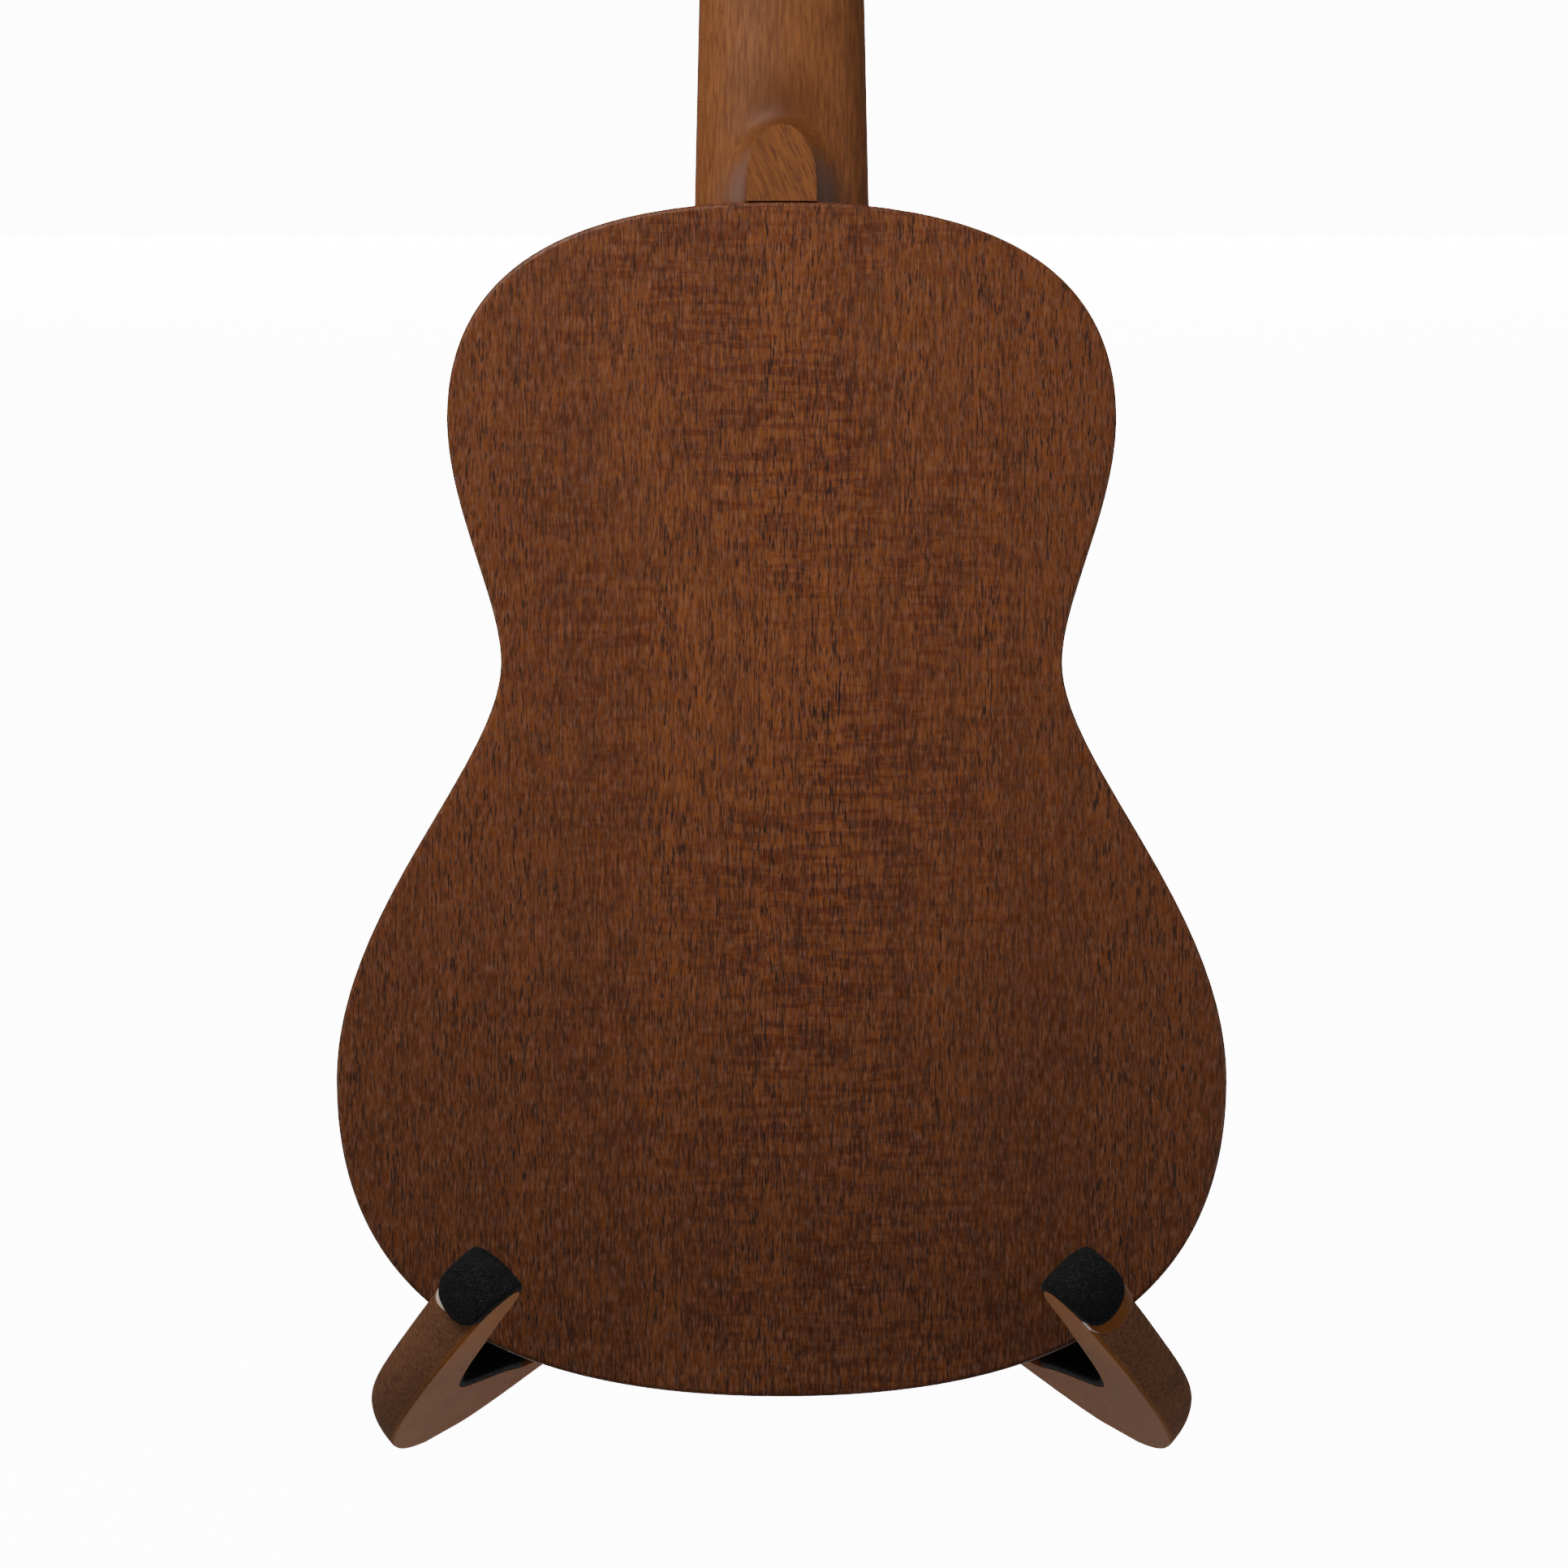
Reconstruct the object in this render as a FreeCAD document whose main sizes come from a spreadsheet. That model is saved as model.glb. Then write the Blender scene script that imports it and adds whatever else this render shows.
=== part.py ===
"""Small four-string guitar (ukulele size) standing back to front on a two-board cross-lap stand.

Local frame of the instrument: x to its right seen from behind, y from the back towards the
soundboard, z from the tail towards the head.  The whole is leaned back and dropped on the floor
at the end, with its footprint centred on the origin.
"""
import FreeCAD, Part
import math
import os
from FreeCAD import Matrix, Placement, Rotation, Vector

os.makedirs("parts", exist_ok=True)
doc = FreeCAD.newDocument("guitar_on_stand")
sheet = doc.addObject("Spreadsheet::Sheet", "sizes")

SIZES = {
    # body
    "body_length": 298, "lower_bout": 222, "waist": 140, "upper_bout": 167,
    "lower_bout_at": 79, "waist_at": 183, "upper_bout_at": 244, "body_depth": 64,
    "plate_thickness": 2.2, "side_thickness": 2.0, "edge_round": 1.2,
    "glue_gap": 0.05, "brace_gap": 0.3, "inlay_gap": 0.02, "lining_width": 5, "lining_height": 6, "neck_block_width": 56, "neck_block_length": 30,
    "tail_block_width": 60, "tail_block_length": 14,
    "soundhole_radius": 31, "soundhole_drop": 102, "rosette_gap": 4, "rosette_width": 6,
    "rosette_depth": 0.8, "brace_width": 7, "brace_height": 10, "patch_thickness": 2,
    # neck and head
    "scale_length": 430, "body_fret": 14, "fret_count": 18, "neck_width": 45.7, "nut_width": 35.5,
    "neck_depth_at_body": 17, "neck_depth_at_nut": 14.5, "fingerboard_thickness": 5,
    "fret_height": 1, "fret_width": 1.6, "dot_radius": 2.5, "nut_length": 4.5, "nut_stand": 1.9,
    "heel_cap_width": 17.4, "heel_cap_length": 19.2, "heel_cap_thickness": 2, "heel_reach": 33,
    "heel_roundness": 1.6,
    "head_length": 142, "head_thickness": 13, "head_angle": 12, "head_width": 63,
    "veneer_thickness": 1.2,
    # strings, bridge and tuners
    "string_pitch_nut": 9.4, "string_pitch_bridge": 14.2, "action_at_octave": 2.6,
    "bridge_width": 92, "bridge_length": 26, "bridge_thickness": 8, "saddle_width": 66,
    "saddle_thickness": 2.8, "tie_hole_radius": 1.2,
    "post_radius": 3, "post_stand": 9, "bushing_radius": 5, "post_side": 19,
    "near_post_at": 42, "far_post_at": 92, "gear_radius": 5.6, "gear_thickness": 3,
    "gear_teeth": 14, "worm_radius": 2.1, "worm_length": 9, "shaft_radius": 1.4,
    "button_length": 14, "button_width": 17, "button_thickness": 8,
    "tuner_plate_length": 34, "tuner_plate_width": 15, "tuner_plate_thickness": 1.2,
    "running_gap": 0.06,
    # stand
    "lean": 14, "spine_rise": 15, "board_slant": 50, "board_thickness": 14.5,
    "board_round": 3, "slot_gap": 0.3, "cradle_pad": 1.8, "back_pad": 3, "seat_gap": 0.3,
    "cradle_depth": 64, "lap_at": 113, "foot_trim": 0.8, "pad_glue": 0.08, "pad_inset": 0.4,
}
for row, (alias, number) in enumerate(SIZES.items(), start=1):
    sheet.set(f"A{row}", alias)
    sheet.set(f"B{row}", str(number))
    sheet.setAlias(f"B{row}", alias)
doc.recompute()


def size(alias):
    """The number behind one alias."""
    return float(sheet.get(alias))


def cell(text):
    """An expression in which every @word is a cell of the sheet."""
    return text.replace("@", "<<sizes>>.")


sheet.Label = "sizes"
kept = []


def keep(obj, label):
    """Give a finished sub-part its own name."""
    obj.Label = label
    kept.append(obj)
    return obj


def shaped(label, shape, local=None):
    """A sub-part whose shape comes from Part's own functions, moved by local before it is kept."""
    obj = doc.addObject("Part::Feature", label)
    solids = shape.Solids
    shape = solids[0] if len(solids) == 1 else Part.makeCompound(solids)
    if local is not None:
        shape = shape.transformed(local.toMatrix())
    obj.Shape = shape
    return keep(obj, label)


def add_edges(sketch, wire):
    """Copy a wire's lines, arcs and splines into a sketch, in the sketch's own plane."""
    for edge in wire.Edges:
        curve, first, last = edge.Curve, edge.FirstParameter, edge.LastParameter
        if isinstance(curve, Part.Line):
            sketch.addGeometry(Part.LineSegment(curve.value(first), curve.value(last)), False)
        elif isinstance(curve, Part.Circle):
            whole = abs(last - first) > 2 * math.pi - 1e-6
            sketch.addGeometry(curve if whole else Part.ArcOfCircle(curve, first, last), False)
        else:
            sketch.addGeometry(curve.toBSpline(first, last), False)


def sketch_on(body, role, wires, offset="0"):
    """A sketch on one of a body's origin planes, moved off it by an expression."""
    sketch = body.newObject("Sketcher::SketchObject", body.Name + "_sketch")
    plane = [f for f in body.Origin.OriginFeatures if f.Role == role][0]
    sketch.AttachmentSupport = [(plane, "")]
    sketch.MapMode = "FlatFace"
    sketch.setExpression("AttachmentOffset.Base.z", cell(offset))
    for wire in wires:
        add_edges(sketch, wire)
    return sketch


def pad(body, sketch, length, reverse=False):
    feature = body.newObject("PartDesign::Pad", body.Name + "_pad")
    feature.Profile = sketch
    feature.setExpression("Length", cell(length))
    feature.Reversed = reverse
    return feature


def pocket(body, sketch, length, reverse=False):
    feature = body.newObject("PartDesign::Pocket", body.Name + "_pocket")
    feature.Profile = sketch
    feature.setExpression("Length", cell(length))
    feature.Reversed = reverse
    return feature


def plate(label, wires, start, thickness):
    """A flat piece across the instrument: outline in x and z, from depth start towards the top.

    The body's XZ plane looks along -y, so the sketch offset is minus the depth and the pad turns.
    """
    body = doc.addObject("PartDesign::Body", label)
    sketch = sketch_on(body, "XZ_Plane", wires, f"-({start})")
    pad(body, sketch, thickness, reverse=True)
    return keep(body, label)


def edges_at(feature, axis, level):
    """Names of the edges that lie at one level along an axis."""
    near = 0.01
    return [f"Edge{i}" for i, edge in enumerate(feature.Shape.Edges, start=1)
            if all(abs(getattr(edge.valueAt(edge.FirstParameter + share * (
                edge.LastParameter - edge.FirstParameter)), axis) - level) < near
                   for share in (0, 0.3, 0.7, 1))]


def round_over(body, axis, level, radius):
    """A fillet on every edge of a body's last feature that lies at one level."""
    base = body.Tip
    rim = edges_at(base, axis, level)
    fillet = body.newObject("PartDesign::Fillet", body.Name + "_rim")
    fillet.Base = (base, rim)
    fillet.setExpression("Radius", cell(radius))


def flat(points):
    """A closed wire of straight lines in the sketch plane."""
    corners = [Vector(x, y, 0) for x, y in points]
    return Part.makePolygon(corners + corners[:1])


def circle(x, y, radius):
    return Part.Wire(Part.Circle(Vector(x, y, 0), Vector(0, 0, 1), radius).toShape())


def bezier(*points):
    curve = Part.BezierCurve()
    curve.setPoles([Vector(x, y, 0) for x, y in points])
    return curve.toBSpline().toShape()


# ---------------------------------------------------------------- body outline
def body_outline():
    """Both halves of the body, each of four curves that meet at the bouts and the waist."""
    low, mid, top = size("lower_bout") / 2, size("waist") / 2, size("upper_bout") / 2
    low_z, mid_z, top_z = size("lower_bout_at"), size("waist_at"), size("upper_bout_at")
    length = size("body_length")
    rise, climb, crown = mid_z - low_z, top_z - mid_z, length - top_z
    quarters = [
        [(0, 0), (0.80 * low, 0), (low, 0.48 * low_z), (low, low_z)],
        [(low, low_z), (low, low_z + 0.41 * rise), (mid, mid_z - 0.24 * rise), (mid, mid_z)],
        [(mid, mid_z), (mid, mid_z + 0.26 * climb), (top, top_z - 0.37 * climb), (top, top_z)],
        [(top, top_z), (top, top_z + 0.68 * crown), (0.65 * top, length), (0, length)],
    ]
    right = [bezier(*q) for q in quarters]
    left = [bezier(*[(-x, z) for x, z in q]) for q in quarters]
    return Part.Wire(Part.__sortEdges__(right + left))


def inside(wire, distance, steps=12):
    """The outline moved in by a distance, square to the curve at every point."""
    edges = []
    for edge in wire.Edges:
        curve, side = edge.Curve, 1 if edge.CenterOfMass.x > 0 else -1
        first, last = sorted((edge.FirstParameter, edge.LastParameter))
        if curve.value(last).y < curve.value(first).y:
            side = -side
        points, ends = [], []
        for k in range(steps + 1):
            at = first + (last - first) * k / steps
            along = Vector(*curve.tangent(at)[0])
            points.append(curve.value(at) + Vector(-side * along.y, side * along.x, 0) * distance)
            ends.append(along)
        moved = Part.BSplineCurve()
        moved.interpolate(Points=points, InitialTangent=ends[0], FinalTangent=ends[-1])
        edges.append(moved.toShape())
    return Part.Wire(Part.__sortEdges__(edges))


def half_ring(outer, inner, side):
    """The wire between two outlines on one side of the middle line."""
    edges = [e for w in (outer, inner) for e in w.Edges if side * e.CenterOfMass.x > 0]
    ends = sorted([v.Point for e in edges for v in e.Vertexes if abs(v.Point.x) < 0.01],
                  key=lambda point: point.y)
    edges += [Part.makeLine(ends[0], ends[1]), Part.makeLine(ends[2], ends[3])]
    return Part.Wire(Part.__sortEdges__(edges))


def stand_up(wire):
    """A flat sketch wire turned into the instrument's x-z plane."""
    return wire.transformed(Rotation(Vector(1, 0, 0), 90).toMatrix())


def block(wire, start, thickness):
    """A solid of an x-z outline, from depth start, through a thickness towards the top."""
    face = Part.Face(stand_up(wire))
    face.translate(Vector(0, start, 0))
    return face.extrude(Vector(0, thickness, 0))


outline = body_outline()
depth, plate_t, side_t = size("body_depth"), size("plate_thickness"), size("side_thickness")
inner_start, inner_depth = plate_t, depth - 2 * plate_t

back = plate("body_back", [outline], "0", "@plate_thickness")
doc.recompute()
round_over(back, "y", 0, "@edge_round")

soundhole_z = size("body_length") - size("soundhole_drop")
hole_wire = circle(0, soundhole_z, size("soundhole_radius"))
board_top = plate("soundboard", [outline, hole_wire], "@body_depth - @plate_thickness",
                  "@plate_thickness")
ring_in = size("soundhole_radius") + size("rosette_gap")
ring_out = ring_in + size("rosette_width")
channel = [circle(0, soundhole_z, ring_in), circle(0, soundhole_z, ring_out)]
pocket(board_top, sketch_on(board_top, "XZ_Plane", channel, "-@body_depth"), "@rosette_depth",
       reverse=True)
inlay_gap = size("inlay_gap")
plate("rosette", [circle(0, soundhole_z, ring_in + inlay_gap),
                  circle(0, soundhole_z, ring_out - inlay_gap)],
      "@body_depth - @rosette_depth", "@rosette_depth")

for hand, turn in (("bass", 1), ("treble", -1)):
    shaped(f"side_{hand}", block(half_ring(outline, inside(outline, side_t), turn),
                                 inner_start, inner_depth))

lining_ring_wire = inside(outline, side_t + size("glue_gap"))
lining_in_wire = inside(outline, side_t + size("lining_width"))


def blocks_space():
    """The two end blocks, which the linings and braces stop short of."""
    wide, long = size("neck_block_width") / 2, size("neck_block_length")
    tail_wide, tail_long = size("tail_block_width") / 2, size("tail_block_length")
    top = size("body_length")
    neck = flat([(-wide, top - long), (wide, top - long), (wide, top), (-wide, top)])
    tail = flat([(-tail_wide, 0), (tail_wide, 0), (tail_wide, tail_long), (-tail_wide, tail_long)])
    return (block(neck, inner_start, inner_depth), block(tail, inner_start, inner_depth))


cavity = block(lining_ring_wire, inner_start, inner_depth)
neck_room, tail_room = blocks_space()
shaped("neck_block", neck_room.common(cavity))
shaped("tail_block", tail_room.common(cavity))


def lining(label, start):
    high = size("lining_height")
    ring = block(lining_ring_wire, start, high).cut(block(lining_in_wire, start, high))
    shaped(label, ring.cut(neck_room).cut(tail_room))


lining("lining_back", plate_t)
lining("lining_front", depth - plate_t - size("lining_height"))


def brace(start, end, high, wide, floor_depth, up):
    """A straight bar on the inside of a plate, with scooped ends, from start to end in x-z."""
    (x1, z1), (x2, z2) = start, end
    long = math.hypot(x2 - x1, z2 - z1)
    scoop = min(2.5 * high, long / 3)
    side = [(0, 0), (long, 0), (long, 0.3 * high), (long - scoop, high), (scoop, high),
            (0, 0.3 * high)]
    bar = Part.Face(flat(side)).extrude(Vector(0, 0, wide))
    bar.translate(Vector(0, 0, -wide / 2))
    along = Vector(x2 - x1, 0, z2 - z1).normalize()
    rise = Vector(0, up, 0)
    cross = along.cross(rise)
    frame = Placement(Matrix(along.x, rise.x, cross.x, x1, along.y, rise.y, cross.y, floor_depth,
                             along.z, rise.z, cross.z, z1, 0, 0, 0, 1))
    return bar.transformed(frame.toMatrix())


inner_space = block(inside(outline, side_t + size("lining_width") + size("brace_gap")), inner_start,
                    inner_depth)
tall, slim = size("brace_height"), size("brace_width")


def bracing(label, bars):
    solids = [bar.common(inner_space).Solids[0] for bar in bars]
    shaped(label, Part.makeCompound(solids))


across = size("lower_bout")
bracing("back_braces", [brace((-across / 2, z), (across / 2, z), tall, slim, plate_t, 1)
                        for z in (size("lower_bout_at"), size("waist_at") - 10,
                                  size("upper_bout_at"))])

nut_z = size("body_length") + size("scale_length") * (1 - 2 ** (-size("body_fret") / 12))
saddle_z = nut_z - size("scale_length")
top_inside = depth - plate_t
patch_high = size("patch_thickness")
patch_half_x, patch_half_z = size("bridge_width") / 2 + 8, size("bridge_length") / 2 + 3
bridge_mid = saddle_z - size("bridge_length") / 6
shaped("bridge_patch", block(flat([(-patch_half_x, bridge_mid - patch_half_z),
                                   (patch_half_x, bridge_mid - patch_half_z),
                                   (patch_half_x, bridge_mid + patch_half_z),
                                   (-patch_half_x, bridge_mid + patch_half_z)]),
                             top_inside - patch_high, patch_high))
hole_edge = size("soundhole_radius") + slim / 2 + 3
fan_top, fan_low = soundhole_z - hole_edge - slim, bridge_mid + patch_half_z + 1
fans = [brace((x * 0.6, fan_top), (x, fan_low), 0.6 * tall, 5, top_inside, -1)
        for x in (-40, 0, 40)]
bars_at = (soundhole_z - hole_edge, soundhole_z + hole_edge)
bracing("top_braces", fans + [brace((-across / 2, z), (across / 2, z), tall, slim, top_inside, -1)
                              for z in bars_at])


# ---------------------------------------------------------------- neck
def neck_half_width(z):
    """Half the width of the fingerboard at a height, on one straight taper."""
    share = (z - size("body_length")) / (nut_z - size("body_length"))
    return (size("neck_width") + (size("nut_width") - size("neck_width")) * share) / 2


def shaft_section(z, deep):
    """A rounded half section of the shaft: flat towards the strings, oval behind."""
    half = neck_half_width(z)
    ends = [Vector(-half, depth, z), Vector(half, depth, z)]
    curve = Part.BSplineCurve()
    steps = [math.pi * k / 8 for k in range(9)]
    curve.interpolate([Vector(half * math.cos(a), depth - 2.5 - (deep - 2.5) * math.sin(a) ** 0.85, z)
                       for a in steps])
    lip = [Vector(half, depth - 2.5, z), Vector(-half, depth - 2.5, z)]
    edges = [Part.makeLine(ends[0], ends[1]), Part.makeLine(ends[1], lip[0]), curve.toShape(),
             Part.makeLine(lip[1], ends[0])]
    return Part.Wire(edges)


def heel_section(y, half, reach):
    """A U across the heel at one depth: straight at the body, round towards the head."""
    foot = size("body_length")
    straight = max(reach - size("heel_roundness") * half, 1)
    curve = Part.BSplineCurve()
    count = 9
    arc = [Vector(half * math.cos(math.pi * k / (count - 1)), y,
                  foot + straight + (reach - straight) * math.sin(math.pi * k / (count - 1)))
           for k in range(count)]
    curve.interpolate(arc)
    return Part.Wire([Part.makeLine(Vector(-half, y, foot), Vector(half, y, foot)),
                      Part.makeLine(Vector(half, y, foot), arc[0]), curve.toShape(),
                      Part.makeLine(arc[-1], Vector(-half, y, foot))])


cap_half, cap_long, cap_t = (size("heel_cap_width") / 2, size("heel_cap_length"),
                             size("heel_cap_thickness"))
cap_face = Part.Face(heel_section(0, cap_half, cap_long))
shaped("heel_cap", cap_face.extrude(Vector(0, cap_t, 0)))

shaft_deep, nut_deep = size("neck_depth_at_body"), size("neck_depth_at_nut")
shaft = Part.makeLoft([shaft_section(size("body_length"), shaft_deep),
                       shaft_section(nut_z, nut_deep)], True, True)
# the heel flares late and sweepingly, and dies inside the shaft
heel_top = depth - 0.45 * shaft_deep
flare_half = 0.82 * neck_half_width(size("body_length")) - cap_half
flare_long = size("heel_reach") - cap_long
heel = Part.makeLoft([heel_section(cap_t + share * (heel_top - cap_t), cap_half + flare * flare_half,
                                   cap_long + flare * flare_long)
                      for share, flare in ((0, 0), (0.35, 0.05), (0.65, 0.22), (0.85, 0.55), (1, 1))],
                     True)

# the head: its own flat frame starts at the nut's lower edge and leans back
head_lean = Placement(Vector(0, depth, nut_z), Rotation(Vector(1, 0, 0), size("head_angle")))


def head_outline():
    """The head's plain outline: a waist above the nut, then a gentle flare and a low crown."""
    half, nut_half, long = size("head_width") / 2, size("nut_width") / 2, size("head_length")
    right = [bezier((nut_half, 0), (nut_half, 6), (half - 3, 10), (half - 2, 24)),
             bezier((half - 2, 24), (half - 3, 50), (half, long - 50), (half, long - 14)),
             bezier((half, long - 14), (half, long - 4), (half * 0.55, long - 5), (0, long))]
    left = [edge.mirror(Vector(0, 0, 0), Vector(1, 0, 0)) for edge in right]
    base = Part.makeLine(Vector(-nut_half, 0, 0), Vector(nut_half, 0, 0))
    return Part.Wire(Part.__sortEdges__(right + left + [base]))


head_t = size("head_thickness")
head_slab = block(head_outline(), -head_t, head_t)
scarf = Part.makeBox(200, 200, 200, Vector(-100, depth, nut_z - 100))
posts = []
for side in (1, -1):
    posts.append((side, size("near_post_at"), "near"))
    posts.append((side, size("far_post_at"), "far"))
post_x, post_r, gap = size("post_side"), size("post_radius"), size("running_gap")


def head_cylinder(x, z, radius, start, end):
    """A cylinder square to the head, at x and z of its own frame, from depth start to end."""
    return Part.makeCylinder(radius, end - start, Vector(x, start, z), Vector(0, 1, 0))


for side, along, _ in posts:
    head_slab = head_slab.cut(head_cylinder(side * post_x, along, size("bushing_radius") - 1,
                                            -head_t - 1, 1))
head_slab = head_slab.transformed(head_lean.toMatrix())
shaped("neck", shaft.fuse(heel).fuse(head_slab).removeSplitter())

veneer = block(head_outline(), 0, size("veneer_thickness"))
for side, along, _ in posts:
    veneer = veneer.cut(head_cylinder(side * post_x, along, size("bushing_radius") - 1, -1, 5))
veneer = veneer.cut(Part.makeBox(80, 30, size("nut_length"), Vector(-40, -10, 0)))
shaped("head_veneer", veneer, head_lean)

board_t = size("fingerboard_thickness")
last_fret_z = nut_z - size("scale_length") * (1 - 2 ** (-size("fret_count") / 12))
board_end = last_fret_z - 4
plate("fingerboard", [flat([(-neck_half_width(board_end), board_end),
                            (neck_half_width(board_end), board_end),
                            (neck_half_width(nut_z), nut_z),
                            (-neck_half_width(nut_z), nut_z)])],
      "@body_depth", "@fingerboard_thickness")


def fret(z):
    """One crowned fret across the board, trimmed to its width."""
    half = neck_half_width(z) - 0.3
    crown = Part.makeCylinder(size("fret_width") / 2, 2 * half, Vector(-half, 0, 0), Vector(1, 0, 0))
    crown = crown.common(Part.makeBox(2 * half, 5, 5, Vector(-half, 0, -2.5)))
    stretch = Matrix()
    stretch.scale(Vector(1, 2 * size("fret_height") / size("fret_width"), 1))
    crown = crown.transformGeometry(stretch)
    crown.translate(Vector(0, depth + board_t, z))
    return crown


fret_heights = [nut_z - size("scale_length") * (1 - 2 ** (-n / 12))
                for n in range(1, int(size("fret_count")) + 1)]
shaped("frets", Part.makeCompound([fret(z) for z in fret_heights]))


def middle_of(n):
    return (fret_heights[n - 1] + fret_heights[n - 2]) / 2


dot_places = [(0, middle_of(n)) for n in (5, 7, 10, 15)] + [(-9, middle_of(12)), (9, middle_of(12))]
shaped("position_dots", Part.makeCompound(
    [Part.makeCylinder(size("dot_radius"), 0.3, Vector(x, depth + board_t, z), Vector(0, 1, 0))
     for x, z in dot_places]))

nut_half, nut_long = size("nut_width") / 2, size("nut_length")
nut_top = depth + board_t + size("fret_height") + size("nut_stand")
nut_block = Part.makeBox(2 * nut_half, nut_top - depth, nut_long, Vector(-nut_half, depth, nut_z))
nut_slot_y = depth + board_t + size("fret_height") + 0.5

# ---------------------------------------------------------------- bridge and strings
string_radii = [0.5, 0.41, 0.46, 0.34]
octave_fret_y = depth + board_t + size("fret_height") + size("action_at_octave")
saddle_y = octave_fret_y + (octave_fret_y - nut_slot_y)
bridge_t, bridge_long, bridge_half = (size("bridge_thickness"), size("bridge_length"),
                                      size("bridge_width") / 2)
bridge_low = saddle_z - 2 * bridge_long / 3
tie_low, tie_high = bridge_low, bridge_low + 0.38 * bridge_long
saddle_half = size("saddle_thickness") / 2
bridge = Part.makeBox(2 * bridge_half, bridge_t, bridge_long, Vector(-bridge_half, depth, bridge_low))
wing = Part.makeBox(60, 20, 80, Vector(saddle_half + size("saddle_width") / 2 + 2,
                                       depth + 0.5 * bridge_t, bridge_low - 20))
bridge = bridge.cut(wing).cut(wing.mirror(Vector(0, 0, 0), Vector(1, 0, 0)))
trough = Part.makeBox(size("saddle_width") + 4, bridge_t, saddle_z - saddle_half - 2 - tie_high,
                      Vector(-size("saddle_width") / 2 - 2, depth + 0.45 * bridge_t, tie_high))
bridge = bridge.cut(trough)
saddle_room = Part.makeBox(size("saddle_width"), bridge_t, size("saddle_thickness"),
                           Vector(-size("saddle_width") / 2, depth + 0.5 * bridge_t,
                                  saddle_z - saddle_half))
bridge = bridge.cut(saddle_room)
bridge = bridge.makeFillet(1.5, [e for e in bridge.Edges
                                 if abs(e.BoundBox.XMin - e.BoundBox.XMax) < 1e-6
                                 and abs(abs(e.BoundBox.XMin) - bridge_half) < 1e-6
                                 and e.BoundBox.YMax - e.BoundBox.YMin < 1e-6
                                 and e.BoundBox.YMin > depth + 1])
tie_y = depth + 0.68 * bridge_t
bridge_xs = [(k - 1.5) * size("string_pitch_bridge") for k in range(4)]
nut_xs = [(k - 1.5) * size("string_pitch_nut") for k in range(4)]
for x in bridge_xs:
    bridge = bridge.cut(Part.makeCylinder(size("tie_hole_radius"), 2 * (tie_high - tie_low),
                                          Vector(x, tie_y, tie_low - 2), Vector(0, 0, 1)))
shaped("bridge", bridge)
saddle = Part.makeBox(size("saddle_width"), saddle_y - depth - 0.5 * bridge_t,
                      size("saddle_thickness"),
                      Vector(-size("saddle_width") / 2, depth + 0.5 * bridge_t,
                             saddle_z - saddle_half))


def to_head(x, y, z):
    """A point of the head's own frame, in the instrument's frame."""
    return head_lean.multVec(Vector(x, y, z))


wind_y = size("veneer_thickness") + 4.6


def string_path(index):
    """Bridge hole, over the saddle, through the nut, to the post and round it."""
    radius = string_radii[index]
    x_bridge, x_nut = bridge_xs[index], nut_xs[index]
    side = 1 if x_nut > 0 else -1
    along = size("near_post_at") if abs(x_nut) > size("string_pitch_nut") else size("far_post_at")
    orbit = post_r + radius + 0.03
    tail = Vector(x_bridge, tie_y, tie_low - 1)
    mouth = Vector(x_bridge, tie_y, tie_high - 0.5)
    over = Vector(x_bridge, saddle_y + radius, saddle_z)
    slot = Vector(x_nut, nut_slot_y + radius, nut_z + 0.4 * nut_long)
    # the tangent from the nut to the inner side of the post, in the head's own frame
    start = head_lean.inverse().multVec(slot)
    post = Vector(side * post_x, wind_y, along)
    flat_start = Vector(start.x, 0, start.z)
    centre = Vector(post.x, 0, post.z)
    reach = (centre - flat_start).Length
    base = math.atan2(centre.z - flat_start.z, centre.x - flat_start.x)
    turn = math.asin(orbit / reach)
    heading = base + side * turn
    touch = flat_start + Vector(math.cos(heading), 0, math.sin(heading)) * (reach * math.cos(turn))
    touch = Vector(touch.x, wind_y, touch.z)
    first = math.atan2(touch.z - post.z, touch.x - post.x)
    sweep = -side * math.radians(325)

    def on_post(angle):
        return to_head(post.x + orbit * math.cos(angle), wind_y, post.z + orbit * math.sin(angle))

    runs = [Part.makeLine(tail, mouth), Part.makeLine(mouth, over), Part.makeLine(over, slot),
            Part.makeLine(slot, on_post(first)),
            Part.Arc(on_post(first), on_post(first + sweep / 2), on_post(first + sweep)).toShape()]
    return runs, radius, post, orbit


def string_solid(index):
    runs, radius, post, orbit = string_path(index)
    pieces = []
    for edge in runs[:-1]:
        a, b = edge.Vertexes[0].Point, edge.Vertexes[-1].Point
        pieces.append(Part.makeCylinder(radius, (b - a).Length, a, b - a))
        if edge is not runs[-2]:
            pieces.append(Part.makeSphere(radius, b))
    last = runs[-1]
    ring = Part.Wire(last).makePipeShell(
        [Part.Wire(Part.Circle(last.valueAt(last.FirstParameter),
                               last.tangentAt(last.FirstParameter), radius).toShape())], True, True)
    line = pieces[0].multiFuse(pieces[1:])
    coil = [Part.makeTorus(orbit, radius, Vector(post.x, post.y - (2 * radius + 0.05) * k, post.z),
                           Vector(0, 1, 0)).transformed(head_lean.toMatrix()) for k in (1, 2)]
    turn = ring.Solids[0] if ring.Solids else Part.Solid(ring)
    return Part.makeCompound([line.Solids[0], turn] + coil)


string_names = ["string_a", "string_e", "string_c", "string_g"]
for index, name in enumerate(string_names):
    shaped(name, string_solid(index))
for index in range(4):
    line = string_solid(index).Solids[0]
    nut_block, saddle = nut_block.cut(line), saddle.cut(line)
shaped("nut", nut_block)
shaped("saddle", saddle)


# ---------------------------------------------------------------- tuners
shaft_bite = 0.35


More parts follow.
